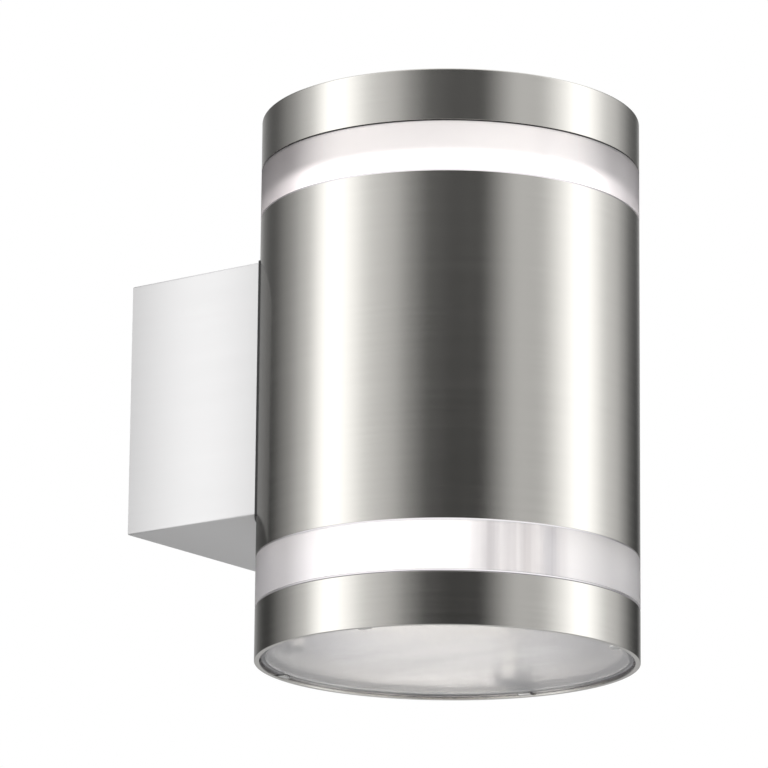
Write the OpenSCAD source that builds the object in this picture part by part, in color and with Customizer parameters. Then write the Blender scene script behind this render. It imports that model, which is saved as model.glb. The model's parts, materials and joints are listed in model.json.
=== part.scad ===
// Wall light: a stainless tube with two clear bands, a lens below and a box that stands it off the wall.
// The origin is on the wall, behind the middle of the box. The tube stands along Z, in front of the wall at -Y.

/* [Tube] */
// Outer diameter of the tube, the bands and both end rings
tube_d = 110; // [100:1:125]
// Wall of the stainless tube, cap and ring
wall_t = 1.5; // [1.2:0.1:1.8]
// Height of the middle tube
body_h = 100; // [98:1:125]
// Height of each light band, from steel to steel
band_h = 15; // [13:1:20]
// Height of the top cap
cap_h = 15; // [14:1:20]
// Height of the bottom ring
ring_h = 15; // [14.6:0.1:20]
// Chamfer on the steel edges that face a band
edge_c = 0.3; // [0.2:0.05:0.5]
// Chamfer round the top of the cap
crown_c = 0.8; // [0.4:0.1:1.2]

/* [Light bands] */
// Radial thickness of the clear rings
band_w = 5; // [4:0.5:6]
// Length of the spigots that go inside the steel
spigot_h = 3; // [2:0.5:3.5]
// Radial clearance of a spigot in the steel
spigot_gap = 0.1; // [0.05:0.05:0.3]
// Radial clearance of the lower spigot in the bottom ring, which turns round it
turn_gap = 0.3; // [0.2:0.1:0.5]
// Thickness of the flat seals between steel and clear rings
seal_t = 0.4; // [0.3:0.1:0.6]
// How far the seals stand back from the outside
seal_recess = 0.3; // [0.1:0.1:0.6]
// Gap between the lower seal and the edge of the bottom ring
ring_gap = 0.3; // [0.2:0.1:0.5]

/* [Bottom ring and lens] */
// Thickness of the glass lens
lens_t = 3; // [2.5:0.1:3.2]
// Depth of the glass behind the lower edge
lens_recess = 0.7; // [0.6:0.1:1]
// Radial clearance round the glass
lens_gap = 0.3; // [0.2:0.1:0.6]
// Chamfer round the glass
lens_c = 0.4; // [0.2:0.1:0.8]
// Thickness of the gasket above the glass
lens_gasket_t = 0.8; // [0.6:0.1:1]
// Thickness of the flange that the gasket seats on
flange_t = 1; // [0.8:0.1:1.2]
// Width of the flange, inwards from the wall
flange_w = 1.7; // [1.4:0.1:2.4]
// Number of clips that hold the glass
clip_count = 4; // [3:1:6]
// Width of a clip
clip_w = 4; // [3:0.5:6]
// Thickness of a clip
clip_t = 0.5; // [0.4:0.05:0.6]
// How far a clip reaches over the glass from the wall
clip_reach = 2; // [1.5:0.1:2.5]
// Angle of the first clip with the ring tightened
clip_turn = 10; // [0:1:89]

/* [Collar and tie rods] */
// Gap between the thread collar and the flange of the bottom ring
collar_gap = 1; // [0.5:0.1:2]
// Radial thickness of the collar
collar_w = 3.5; // [3:0.1:4.5]
// Radial clearance of the thread between collar and bottom ring
thread_gap = 0.08; // [0.05:0.01:0.1]
// Number of tie rods
rod_count = 3; // [2:1:4]
// Angle of the first tie rod
rod_turn = 12; // [0:1:25]
// Diameter of the tie rods
rod_d = 4; // [3:0.5:5]
// Gap between the rods and the inside of the bands
rod_clear = 2; // [1:0.5:3]
// Diameter of the rod heads
rod_head_d = 7; // [6.5:0.1:7.4]
// Height of the rod heads
rod_head_h = 2.6; // [2:0.1:2.8]
// Diameter of the collar's bosses
boss_d = 10; // [9.5:0.5:12]
// Diameter of the cap's bosses
cap_boss_d = 8; // [7:0.5:9]

/* [Lampholder] */
// Distance from the lampholder's barrel to the screws that carry the bracket
bracket_side = 5; // [4:0.5:8]
// Drop from the cap to the bracket
bracket_drop = 6; // [5.5:0.5:8]
// Width of the bracket
bracket_w = 18; // [14:1:22]
// Sheet of the bracket
bracket_t = 1.5; // [1:0.1:2]
// Diameter of the small screws
small_screw_d = 3; // [2.5:0.1:3.2]
// Distance between the lampholder screws
holder_pitch = 16; // [14:1:18]
// Height of the lampholder
holder_h = 47; // [44:1:50]
// Outer diameter of the lampholder's barrel
holder_d = 38; // [36:1:42]
// Depth of the socket up to the seat of its shell
socket_depth = 24; // [23:0.5:26]
// Inner diameter of the threaded shell
shell_d = 26.6; // [26.4:0.1:27]
// Sheet of the threaded shell
shell_t = 0.6; // [0.5:0.1:0.8]

/* [Lamp] */
// Largest diameter of the lamp
lamp_d = 60; // [55:1:62]
// Length of the lamp from tip to globe
lamp_len = 104; // [100:1:106]
// Diameter of the lamp's neck
neck_d = 28.4; // [28:0.2:32]
// Wall of the globe
globe_t = 1.2; // [1:0.1:1.6]
// Wall of the lamp's housing
housing_t = 1.6; // [1.2:0.1:2]
// Sheet of the lamp's cap
cap_t = 0.4; // [0.3:0.05:0.6]
// Radial clearance of the lamp's cap in the shell
lamp_gap = 0.08; // [0.05:0.01:0.1]

/* [Wall box] */
// Width of the box
box_w = 70; // [66:1:80]
// Height of the box
box_h = 75; // [72:1:90]
// Depth of the box from the wall to the gasket
box_d = 34.5; // [32:0.5:50]
// Sheet of the box
box_t = 1.2; // [1:0.1:1.5]
// Chamfer along the folded edges
fold_c = 0.5; // [0.3:0.1:1]
// Thickness of the gasket between box and tube
saddle_t = 0.5; // [0.3:0.1:0.8]
// How far that gasket stands out round the box
saddle_over = 0.5; // [0:0.1:1]
// Diameter of the screws in tube and box
screw_d = 4; // [3.5:0.1:4.2]
// Distance from the edge of the box to the screws that hold the tube
saddle_edge = 15.5; // [14:0.5:18]

/* [Wall plate] */
// Gap between the wall plate and each side of the box
plate_side = 3.8; // [1:0.1:5]
// Sheet of the wall plate
plate_t = 2; // [1.5:0.1:2.5]
// Thickness of the foam behind the plate
foam_t = 1.5; // [1.4:0.1:2]
// Distance from the ends of the wall plate to the slots for the wall screws
slot_edge = 2; // [1.5:0.1:3]
// End-to-end length of a slot
slot_len = 10; // [8:0.5:11]
// Width of a slot
slot_w = 4.5; // [4:0.1:5]
// Inner diameter of the supply grommet
cable_d = 12; // [9:0.5:13]

/* [Hidden] */

// Facets of round shapes
round_fn = 96;
small_fn = 32;
hex_fn = 6;

// Overrun of every cut
over = 1;
// Gap between pieces that lie close and don't touch
near_gap = 0.3;
// Radial clearance of a screw in its thread, and of a part that seats in a bore
fit_gap = 0.05;
// Radial clearance of a screw in a plain hole
hole_gap = 0.2;

// Tube stack, from the middle outwards
tube_r = tube_d / 2;
bore_r = tube_r - wall_t;
body_top = body_h / 2;
body_bottom = -body_top;
band_top = body_top + band_h;
cap_top = band_top + cap_h;
cap_in = cap_top - wall_t;
ring_top = body_bottom - band_h;
ring_bottom = ring_top - ring_h;
reach = tube_r + saddle_t + box_d;

// Clear bands
band_in_r = tube_r - band_w;
spigot_r = bore_r - spigot_gap;
band_c = edge_c;
lower_seat = ring_top + ring_gap + seal_t;

// Lens, from the lower edge upwards
lens_bottom = ring_bottom + lens_recess;
lens_top = lens_bottom + lens_t;
flange_bottom = lens_top + lens_gasket_t;
flange_top = flange_bottom + flange_t;
flange_r = bore_r - flange_w;
lens_r = bore_r - lens_gap;

// Collar and rods
collar_top = ring_top - spigot_h;
collar_bottom = flange_top + collar_gap;
collar_r = bore_r - thread_gap;
rod_r = rod_d / 2;
rod_circle = band_in_r - rod_clear - rod_r;
rod_seat = collar_bottom + rod_head_h + fit_gap;
cap_boss_bottom = band_top + spigot_h + near_gap;
rod_end_gap = 2;
rod_top = cap_in - rod_end_gap;
socket_key = rod_head_d / 2;

// Bracket and lampholder, hung from the cap
bracket_top = cap_in - bracket_drop;
bracket_bottom = bracket_top - bracket_t;
small_r = small_screw_d / 2;
small_head_r = small_screw_d;
small_head_h_share = 2 / 3;
small_head_h = small_screw_d * small_head_h_share;
holder_top = bracket_bottom;
holder_mouth = holder_top - holder_h;
holder_r = holder_d / 2;
bracket_pitch = holder_d + bracket_side * 2;
holder_bite = 6;
holder_lip = 1.5;
holder_lip_h = 3;
holder_waist = 2;
holder_waist_h = 15;
shell_r = shell_d / 2;
shell_out_r = shell_r + shell_t;
shell_seat = holder_mouth + socket_depth;
shell_lead = 2.4;
chamber_r = 8;
tip_hole_rim = 2;
tip_hole_r = chamber_r + tip_hole_rim;
chamber_h = 4;
contact_w = 5;
contact_half = 6;
contact_t = 0.6;
contact_drop = 2.7;
contact_reach = 3;
wire_bore_depth = 7;
wire_bore_x = 7;
wire_bore_drop = 9;

// Lamp, from its tip downwards
contact_low = shell_seat + chamber_h - contact_drop;
lamp_tip_z = contact_low - near_gap;
tip_h = 0.6;
tip_r = 4.8;
insulator_h = 2.6;
insulator_r = 6;
cap_r = shell_r - lamp_gap;
cap_shoulder_z = lamp_tip_z - tip_h - insulator_h;
cap_shoulder_c = 0.8;
neck_z = holder_mouth - near_gap;
globe_r = lamp_d / 2;
globe_z = lamp_tip_z - lamp_len + globe_r;
joint_rise_share = 0.43;
joint_z = globe_z + globe_r * joint_rise_share;
joint_r = sqrt(pow(globe_r, 2) - pow(joint_z - globe_z, 2));
neck_r = neck_d / 2;
neck_h = 3;
flare_steps = 14;
board_t = 1.6;
board_gap = 1.2;
board_r = joint_r - globe_t - board_gap;
chip_count = 12;
chip_size = 3;
chip_h = 0.7;
chip_circle_share = 2 / 3;
chip_circle = board_r * chip_circle_share;

// Wall box
box_half_w = box_w / 2;
box_half_h = box_h / 2;
saddle_r = tube_r + saddle_t;
front_r = saddle_r + box_t;
front_y = front_r - reach;
screw_r = screw_d / 2;
screw_head_r_share = 0.95;
screw_head_r = screw_d * screw_head_r_share;
screw_head_h_share = 0.6;
screw_head_h = screw_d * screw_head_h_share;
box_screw_y = 9;
box_screw_len = 6;
lip_h = 4.5;
lip_side = 15.8;
lip_w = box_w - (box_t + lip_side) * 2;

// Pieces that clamp the tube on the box
backing_t = 4.5;
backing_w = 28;
backing_edge = 10;
backing_flat = bore_r - backing_t;
saddle_pitch = box_h - saddle_edge * 2;
washer_t = 0.8;
washer_r_share = 1.1;
washer_r = screw_d * washer_r_share;
nut_h_share = 0.8;
nut_h = screw_d * nut_h_share;
nut_r_share = 1.01;
nut_r = screw_d * nut_r_share;
screw_tail = 1.5;
tag_r = washer_r;
tag_barrel_r = 1.8;
tag_barrel_h = 3.5;
grommet_hole_r = 5;
grommet_flange_r = 7;
grommet_flange_t = 1.5;
grommet_bore_r = 3.5;

// Wall plate and what it carries
plate_back = -foam_t;
plate_front = plate_back - plate_t;
plate_top = box_half_h - box_t - near_gap;
plate_bottom = -box_half_h + box_t + near_gap * 2;
plate_w = box_w - (box_t + plate_side) * 2;
slot_pitch = plate_w - slot_len - slot_edge * 2;
ear_inset = 2;
ear_w = plate_w - ear_inset * 2;
ear_len = 12;
ear_edge = 8;
box_screw_pitch = ear_w - ear_edge * 2;
foam_bottom = -box_half_h + box_t + lip_h + near_gap;
foam_top = plate_top - plate_t - near_gap;
cable_wall = 3;
cable_flange = 2.5;
cable_r = cable_d / 2;
cable_hole_r = cable_r + cable_wall;
cable_flange_r = cable_hole_r + cable_flange;
cable_flange_t = 1.5;
block_w = 29;
block_h = 16;
block_d = 13;
block_step = 3;
block_step_d = 4;
pole_pitch = 9.5;
clamp_r = 2.2;
clamp_offset = 4.2;
clamp_len = 3.5;
clamp_bore = 4.5;
clamp_slot = 0.7;

// Free height of the plate, shared out below the grommet, between it and the block, and above the block
free_h = plate_top - plate_t - foam_bottom - cable_flange_r * 2 - block_h;
below_share = 6 / 53;
above_share = 26 / 53;
cable_z = foam_bottom + free_h * below_share + cable_flange_r;
block_z = plate_top - plate_t - free_h * above_share - block_h / 2;
earth_side = 8.5;
earth_x = cable_flange_r + earth_side;
earth_drop = 3;
earth_z = cable_z - earth_drop;

// Wires
wire_d = 2.2;
wire_r = wire_d / 2;
wire_hole_r = wire_r + near_gap;
wire_sides = 8;
wire_steps = 4;
wire_bite = 3.5;
wire_fan_shares = [0.95, 0.85, 0.7, 0.3];
wire_pair_shares = [1.2, 1.6];
wire_rise_shares = [0.4, 0.7];
wire_turn_share = 1.5;
block_top = block_z + block_h / 2;
clamp_gap = 1.4;
pole_depth = block_d - clamp_bore - clamp_gap - wire_r;
pole_y = plate_front - pole_depth;
wire_pair = 1.6;
wire_back = 10.5;
tube_wire_y = bore_r - wire_back - reach;
tag_z = saddle_pitch / 2 + tag_r + tag_barrel_h;
tag_y = front_y + tag_barrel_r + near_gap;

module at_tube() {
    translate([0, -reach, 0]) children();
}

// Solid of revolution between two heights, with chamfers on its outer edges
module turned_ring(r_out, r_in, z_low, z_high, c_low, c_high) {
    rotate_extrude($fn = round_fn)
        polygon([
            [r_in, z_low], [r_out - c_low, z_low], [r_out, z_low + c_low],
            [r_out, z_high - c_high], [r_out - c_high, z_high], [r_in, z_high]
        ]);
}

module round_bar(r, z_low, z_high, fn = small_fn) {
    translate([0, 0, z_low]) cylinder(r = r, h = z_high - z_low, $fn = fn);
}

// Round bar along +Y, at a height and a side offset
module bar_y(r, y_low, y_high, x = 0, z = 0, fn = small_fn) {
    translate([x, y_low, z]) rotate([-90, 0, 0]) cylinder(r = r, h = y_high - y_low, $fn = fn);
}

module on_rods() {
    for (i = [0 : rod_count - 1])
        rotate(rod_turn + i * 360 / rod_count) translate([rod_circle, 0, 0]) children();
}

module at_pair(x) {
    for (side = [-1, 1]) translate([side * x, 0, 0]) children();
}

// Rectangle in X and Z with chamfered corners, extruded from one Y to another
module chamfered_block(half_w, half_h, c, y_low, y_high) {
    translate([0, y_high, 0])
        rotate([90, 0, 0])
            linear_extrude(y_high - y_low)
                polygon([
                    [-half_w + c, -half_h], [half_w - c, -half_h], [half_w, -half_h + c],
                    [half_w, half_h - c], [half_w - c, half_h], [-half_w + c, half_h],
                    [-half_w, half_h - c], [-half_w, -half_h + c]
                ]);
}

// Slot with round ends, lying along X
module slot_shape(length, width) {
    square([length - width, width], center = true);
    for (side = [-1, 1])
        translate([side * (length - width) / 2, 0]) circle(d = width, $fn = small_fn);
}

module body_tube() {
    color([0.66, 0.65, 0.62])
        difference() {
            at_tube() turned_ring(tube_r, bore_r, body_bottom, body_top, edge_c, edge_c);
            bar_y(grommet_hole_r, -reach, over - reach + tube_r);
            for (side = [-1, 1])
                bar_y(screw_r + hole_gap, -reach, over - reach + tube_r, z = side * saddle_pitch / 2);
        }
}

module upper_band() {
    color([0.94, 0.93, 0.92])
        at_tube()
            rotate_extrude($fn = round_fn)
                polygon([
                    [band_in_r, body_top - spigot_h], [spigot_r, body_top - spigot_h],
                    [spigot_r, body_top + seal_t], [tube_r - band_c, body_top + seal_t],
                    [tube_r, body_top + seal_t + band_c], [tube_r, band_top - seal_t - band_c],
                    [tube_r - band_c, band_top - seal_t], [spigot_r, band_top - seal_t],
                    [spigot_r, band_top + spigot_h], [band_in_r, band_top + spigot_h]
                ]);
}

module lower_band() {
    color([0.94, 0.93, 0.92])
        at_tube()
            rotate_extrude($fn = round_fn)
                polygon([
                    [band_in_r, collar_top], [bore_r - turn_gap, collar_top],
                    [bore_r - turn_gap, lower_seat], [tube_r - band_c, lower_seat],
                    [tube_r, lower_seat + band_c], [tube_r, body_bottom - seal_t - band_c],
                    [tube_r - band_c, body_bottom - seal_t], [spigot_r, body_bottom - seal_t],
                    [spigot_r, body_bottom + spigot_h], [band_in_r, body_bottom + spigot_h]
                ]);
}

module flat_seal(z_low) {
    turned_ring(tube_r - seal_recess, bore_r, z_low, z_low + seal_t, 0, 0);
}

module band_seals() {
    color([0.12, 0.12, 0.12])
        at_tube()
            for (z_low = [band_top - seal_t, body_top, body_bottom - seal_t]) flat_seal(z_low);
}

module ring_seal() {
    color([0.12, 0.12, 0.12])
        at_tube() flat_seal(lower_seat - seal_t);
}

module top_cap() {
    color([0.66, 0.65, 0.62])
        at_tube()
            difference() {
                union() {
                    rotate_extrude($fn = round_fn)
                        polygon([
                            [0, cap_in], [bore_r, cap_in], [bore_r, band_top],
                            [tube_r - edge_c, band_top], [tube_r, band_top + edge_c],
                            [tube_r, cap_top - crown_c], [tube_r - crown_c, cap_top], [0, cap_top]
                        ]);
                    on_rods() round_bar(cap_boss_d / 2, cap_boss_bottom, cap_in + wall_t / 2);
                    at_pair(bracket_pitch / 2) round_bar(small_head_r + over, bracket_top, cap_in + wall_t / 2);
                }
                on_rods() round_bar(rod_r + fit_gap, cap_boss_bottom - over, rod_top + near_gap);
                at_pair(bracket_pitch / 2)
                    round_bar(small_r + fit_gap, bracket_top - over, cap_in - near_gap);
            }
}

module thread_collar() {
    color([0.75, 0.75, 0.76])
        at_tube()
            difference() {
                union() {
                    turned_ring(collar_r, collar_r - collar_w, collar_bottom, collar_top, edge_c, 0);
                    on_rods() round_bar(boss_d / 2, collar_bottom, collar_top);
                }
                on_rods() round_bar(rod_r + hole_gap, collar_bottom - over, collar_top + over);
                on_rods() round_bar(rod_head_d / 2 + hole_gap, collar_bottom - over, rod_seat);
            }
}

module tie_rods() {
    color([0.7, 0.7, 0.7])
        at_tube()
            on_rods()
                difference() {
                    union() {
                        round_bar(rod_r, rod_seat, rod_top);
                        round_bar(rod_head_d / 2, rod_seat - rod_head_h, rod_seat);
                    }
                    round_bar(socket_key / 2, rod_seat - rod_head_h - over, rod_seat - rod_head_h / 2, hex_fn);
                }
}

module holder_bracket() {
    color([0.72, 0.72, 0.7])
        at_tube()
            translate([0, 0, bracket_bottom])
                linear_extrude(bracket_t)
                    difference() {
                        slot_shape(bracket_pitch + bracket_w, bracket_w);
                        for (x = [bracket_pitch / 2, holder_pitch / 2])
                            at_pair(x) circle(r = small_r + hole_gap, $fn = small_fn);
                    }
}

// Screw along Z, with its head above or below its seat and its shank the other way
module pan_screw(shank_r, head_r, head_h, length, up) {
    z_dir = up ? 0 : 1;
    mirror([0, 0, z_dir]) {
        round_bar(shank_r, -length, head_h / 2);
        difference() {
            round_bar(head_r, 0, head_h);
            translate([0, 0, head_h]) cube([head_r * 2 + over, clamp_slot, head_h], center = true);
        }
    }
}

module bracket_screws() {
    bite = bracket_drop - near_gap * 2 + bracket_t;
    color([0.7, 0.7, 0.7])
        at_tube()
            at_pair(bracket_pitch / 2)
                translate([0, 0, bracket_bottom]) pan_screw(small_r, small_head_r, small_head_h, bite, false);
}

module holder_screws() {
    color([0.7, 0.7, 0.7])
        at_tube()
            at_pair(holder_pitch / 2)
                translate([0, 0, bracket_top])
                    pan_screw(small_r, small_head_r, small_head_h, bracket_t + holder_bite, true);
}

module lampholder() {
    waist_z = holder_top - holder_waist_h;
    color([0.9, 0.89, 0.86])
        at_tube()
            difference() {
                rotate_extrude($fn = round_fn)
                    polygon([
                        [0, holder_mouth], [holder_r + holder_lip - edge_c, holder_mouth],
                        [holder_r + holder_lip, holder_mouth + edge_c],
                        [holder_r + holder_lip, holder_mouth + holder_lip_h],
                        [holder_r, holder_mouth + holder_lip_h + holder_lip],
                        [holder_r, waist_z - holder_waist], [holder_r - holder_waist, waist_z],
                        [holder_r - holder_waist, holder_top - edge_c],
                        [holder_r - holder_waist - edge_c, holder_top], [0, holder_top]
                    ]);
                round_bar(shell_out_r + fit_gap, holder_mouth - over, shell_seat, round_fn);
                round_bar(chamber_r, shell_seat - over, shell_seat + chamber_h);
                at_pair(holder_pitch / 2)
                    round_bar(small_r + fit_gap, holder_top - holder_bite - near_gap, holder_top + over);
                for (side = [-1, 1])
                    bar_y(wire_hole_r, holder_r - holder_waist - wire_bore_depth - holder_waist, holder_r,
                        side * wire_bore_x, holder_top - wire_bore_drop);
            }
}

module holder_shell() {
    color([0.8, 0.68, 0.4])
        at_tube() {
            turned_ring(shell_out_r, shell_r, holder_mouth + shell_lead, shell_seat, 0, 0);
            turned_ring(shell_out_r, tip_hole_r, shell_seat - shell_t, shell_seat, 0, 0);
        }
}

module centre_contact() {
    roof = shell_seat + chamber_h;
    color([0.8, 0.68, 0.4])
        at_tube()
            translate([0, contact_w / 2, 0])
                rotate([90, 0, 0])
                    linear_extrude(contact_w)
                        polygon([
                            [-contact_half, roof], [contact_half, roof], [contact_half, roof - contact_t * 2],
                            [-contact_reach + contact_t, contact_low], [-contact_reach - contact_t, contact_low],
                            [-contact_reach - contact_t, contact_low + contact_t],
                            [contact_reach, roof - contact_t], [-contact_half, roof - contact_t]
                        ]);
}

module lamp_cap() {
    color([0.78, 0.77, 0.74])
        at_tube()
            difference() {
                turned_ring(cap_r, 0, neck_z, cap_shoulder_z, 0, cap_shoulder_c);
                turned_ring(cap_r - cap_t, 0, neck_z - over, cap_shoulder_z - cap_t, 0, cap_shoulder_c);
            }
}

module lamp_insulator() {
    color([0.1, 0.1, 0.1])
        at_tube()
            rotate_extrude($fn = round_fn)
                polygon([
                    [0, cap_shoulder_z], [cap_r - cap_shoulder_c, cap_shoulder_z],
                    [insulator_r, cap_shoulder_z + insulator_h], [0, cap_shoulder_z + insulator_h]
                ]);
}

module lamp_tip() {
    color([0.72, 0.7, 0.66])
        at_tube() turned_ring(tip_r, 0, lamp_tip_z - tip_h, lamp_tip_z, 0, tip_h / 2);
}

// Outline from the neck to the globe along a smooth step, drawn in from it by a distance
function flare(inset) = [
    for (i = [flare_steps : -1 : 0])
        let (t = i / flare_steps, swell = t * t * (3 - 2 * t))
        [neck_r - inset + (joint_r - neck_r) * swell, neck_z - neck_h - (neck_z - neck_h - joint_z) * t]
];

module lamp_housing() {
    color([0.93, 0.93, 0.92])
        at_tube()
            rotate_extrude($fn = round_fn)
                difference() {
                    polygon(concat([[0, neck_z], [0, joint_z]], flare(0), [[neck_r, neck_z]]));
                    polygon(concat(
                        [[0, neck_z - housing_t], [0, joint_z - over], [joint_r - housing_t, joint_z - over]],
                        flare(housing_t),
                        [[neck_r - housing_t, neck_z - housing_t]]
                    ));
                }
}

module lamp_board() {
    color([0.95, 0.95, 0.9])
        at_tube() {
            round_bar(board_r, joint_z - board_t, joint_z, round_fn);
            for (i = [0 : chip_count - 1])
                rotate(i * 360 / chip_count)
                    translate([chip_circle, 0, joint_z - board_t])
                        cube([chip_size, chip_size, chip_h * 2], center = true);
        }
}

module lamp_globe() {
    color([0.97, 0.96, 0.92])
        at_tube()
            difference() {
                translate([0, 0, globe_z]) sphere(r = globe_r, $fn = round_fn);
                translate([0, 0, globe_z]) sphere(r = globe_r - globe_t, $fn = round_fn);
                translate([0, 0, joint_z]) cylinder(r = lamp_d, h = lamp_d, $fn = small_fn);
            }
}

module bottom_ring() {
    color([0.66, 0.65, 0.62])
        at_tube()
            rotate_extrude($fn = round_fn)
                polygon([
                    [tube_r - edge_c, ring_bottom], [tube_r, ring_bottom + edge_c],
                    [tube_r, ring_top - edge_c], [tube_r - edge_c, ring_top], [bore_r, ring_top],
                    [bore_r, flange_top], [flange_r, flange_top], [flange_r, flange_bottom],
                    [bore_r, flange_bottom], [bore_r, ring_bottom]
                ]);
}

module lens() {
    color([0.85, 0.88, 0.9, 0.5])
        at_tube() turned_ring(lens_r, 0, lens_bottom, lens_top, lens_c, lens_c);
}

module lens_gasket() {
    color([0.8, 0.8, 0.8])
        at_tube() turned_ring(bore_r - spigot_gap, flange_r, lens_top, flange_bottom, 0, 0);
}

module lens_clips() {
    clip_angle = clip_w / bore_r * 180 / PI;
    color([0.6, 0.6, 0.6])
        at_tube()
            for (i = [0 : clip_count - 1])
                rotate(clip_turn - clip_angle / 2 + i * 360 / clip_count)
                    rotate_extrude(angle = clip_angle, $fn = round_fn)
                        translate([bore_r - clip_reach, lens_bottom - clip_t])
                            square([clip_reach, clip_t]);
}

module wall_box() {
    in_w = box_half_w - box_t;
    in_h = box_half_h - box_t;
    color([0.9, 0.9, 0.9])
        difference() {
            union() {
                difference() {
                    chamfered_block(box_half_w, box_half_h, fold_c, -reach, 0);
                    difference() {
                        chamfered_block(in_w, in_h, 0, -reach, over);
                        at_tube() round_bar(front_r, -box_h, box_h, round_fn);
                    }
                }
                translate([-lip_w / 2, -box_t, -in_h - box_t / 2]) cube([lip_w, box_t, lip_h + box_t / 2]);
            }
            at_tube() round_bar(saddle_r, -box_h, box_h, round_fn);
            bar_y(grommet_hole_r, -reach, over + front_y);
            for (side = [-1, 1])
                bar_y(screw_r + hole_gap, -reach, over + front_y, z = side * saddle_pitch / 2);
            translate([0, -box_screw_y, 0])
                at_pair(box_screw_pitch / 2) round_bar(screw_r + hole_gap, 0, box_h);
        }
}

module saddle_gasket() {
    color([0.1, 0.1, 0.1])
        difference() {
            intersection() {
                at_tube() round_bar(saddle_r, -box_h, box_h, round_fn);
                chamfered_block(box_half_w + saddle_over, box_half_h + saddle_over, fold_c, -reach, 0);
            }
            at_tube() round_bar(tube_r, -box_h, box_h, round_fn);
            bar_y(grommet_hole_r, -reach, 0);
            for (side = [-1, 1])
                bar_y(screw_r + hole_gap, -reach, 0, z = side * saddle_pitch / 2);
        }
}

module backing_plate() {
    half_h = saddle_pitch / 2 + backing_edge;
    color([0.7, 0.7, 0.7])
        difference() {
            intersection() {
                at_tube() round_bar(bore_r, -box_h, box_h, round_fn);
                chamfered_block(backing_w / 2, half_h, fold_c, backing_flat - reach, 0);
            }
            bar_y(grommet_hole_r, -reach, 0);
            for (side = [-1, 1])
                bar_y(screw_r + hole_gap, -reach, 0, z = side * saddle_pitch / 2);
        }
}

module saddle_screws() {
    end_y = front_r + washer_t + nut_h + screw_tail;
    color([0.7, 0.7, 0.7])
        for (side = [-1, 1])
            translate([0, backing_flat - reach, side * saddle_pitch / 2])
                rotate([90, 0, 0])
                    pan_screw(screw_r, screw_head_r, screw_head_h, end_y - backing_flat, true);
}

module saddle_washer() {
    color([0.7, 0.7, 0.7])
        difference() {
            bar_y(washer_r, front_y, front_y + washer_t, z = -saddle_pitch / 2);
            bar_y(screw_r + fit_gap, front_y - over, front_y + washer_t + over, z = -saddle_pitch / 2);
        }
}

// Ring under the upper nut, with a barrel above it that grips the earth wire
module earth_tag() {
    ring_z = saddle_pitch / 2;
    barrel_z = ring_z + tag_r;
    color([0.8, 0.68, 0.4])
        difference() {
            union() {
                bar_y(tag_r, front_y, front_y + washer_t, z = ring_z);
                translate([-tag_barrel_r, front_y, ring_z])
                    cube([tag_barrel_r * 2, washer_t, tag_r + tag_barrel_h / 2]);
                translate([0, tag_y, 0]) round_bar(tag_barrel_r, barrel_z, tag_z);
            }
            bar_y(screw_r + fit_gap, front_y - over, front_y + washer_t + over, z = ring_z);
            translate([0, tag_y, 0]) round_bar(wire_r + fit_gap, barrel_z - over, tag_z + over);
        }
}

module saddle_nuts() {
    nut_y = front_y + washer_t;
    color([0.7, 0.7, 0.7])
        for (side = [-1, 1])
            difference() {
                bar_y(nut_r, nut_y, nut_y + nut_h, z = side * saddle_pitch / 2, fn = hex_fn);
                bar_y(screw_r + fit_gap, nut_y - over, nut_y + nut_h + over, z = side * saddle_pitch / 2);
            }
}

module tube_grommet() {
    in_y = backing_flat - reach;
    color([0.13, 0.13, 0.13])
        difference() {
            union() {
                bar_y(grommet_hole_r - fit_gap, in_y, front_y);
                bar_y(grommet_flange_r, in_y - grommet_flange_t, in_y);
                bar_y(grommet_flange_r, front_y, front_y + grommet_flange_t);
            }
            bar_y(grommet_bore_r, in_y - grommet_flange_t - over, front_y + grommet_flange_t + over);
        }
}

module box_screws() {
    color([0.75, 0.75, 0.75])
        translate([0, -box_screw_y, box_half_h])
            at_pair(box_screw_pitch / 2) pan_screw(screw_r, screw_head_r, screw_head_h, box_screw_len, true);
}

module wall_plate() {
    color([0.62, 0.64, 0.66])
        difference() {
            union() {
                translate([0, plate_back, 0])
                    rotate([90, 0, 0])
                        linear_extrude(plate_t)
                            difference() {
                                translate([-plate_w / 2, plate_bottom])
                                    square([plate_w, plate_top - plate_bottom]);
                                at_pair(slot_pitch / 2) slot_shape(slot_len, slot_w);
                                translate([0, cable_z]) circle(r = cable_hole_r, $fn = round_fn);
                                translate([-pole_pitch / 2, block_z])
                                    circle(r = small_r + fit_gap, $fn = small_fn);
                                translate([earth_x, earth_z]) circle(r = screw_r + fit_gap, $fn = small_fn);
                            }
                translate([-ear_w / 2, plate_front - ear_len, plate_top - plate_t])
                    cube([ear_w, ear_len + plate_t / 2, plate_t]);
            }
            translate([0, -box_screw_y, 0])
                at_pair(box_screw_pitch / 2) round_bar(screw_r + fit_gap, 0, box_h);
        }
}

module wall_foam() {
    color([0.2, 0.2, 0.2])
        rotate([90, 0, 0])
            linear_extrude(foam_t)
                difference() {
                    translate([-plate_w / 2, foam_bottom]) square([plate_w, foam_top - foam_bottom]);
                    at_pair(slot_pitch / 2) slot_shape(slot_len + over * 2, slot_w + over * 2);
                    translate([0, cable_z]) circle(r = cable_flange_r + near_gap, $fn = round_fn);
                    translate([earth_x, earth_z]) circle(r = screw_r + over, $fn = small_fn);
                }
}

module supply_grommet() {
    color([0.13, 0.13, 0.13])
        difference() {
            union() {
                bar_y(cable_hole_r - fit_gap, plate_front, plate_back, z = cable_z, fn = round_fn);
                bar_y(cable_flange_r, plate_front - cable_flange_t, plate_front, z = cable_z, fn = round_fn);
                bar_y(cable_flange_r, plate_back, -near_gap, z = cable_z, fn = round_fn);
            }
            bar_y(cable_r, plate_front - cable_flange_t - over, over, z = cable_z, fn = round_fn);
        }
}

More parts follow.
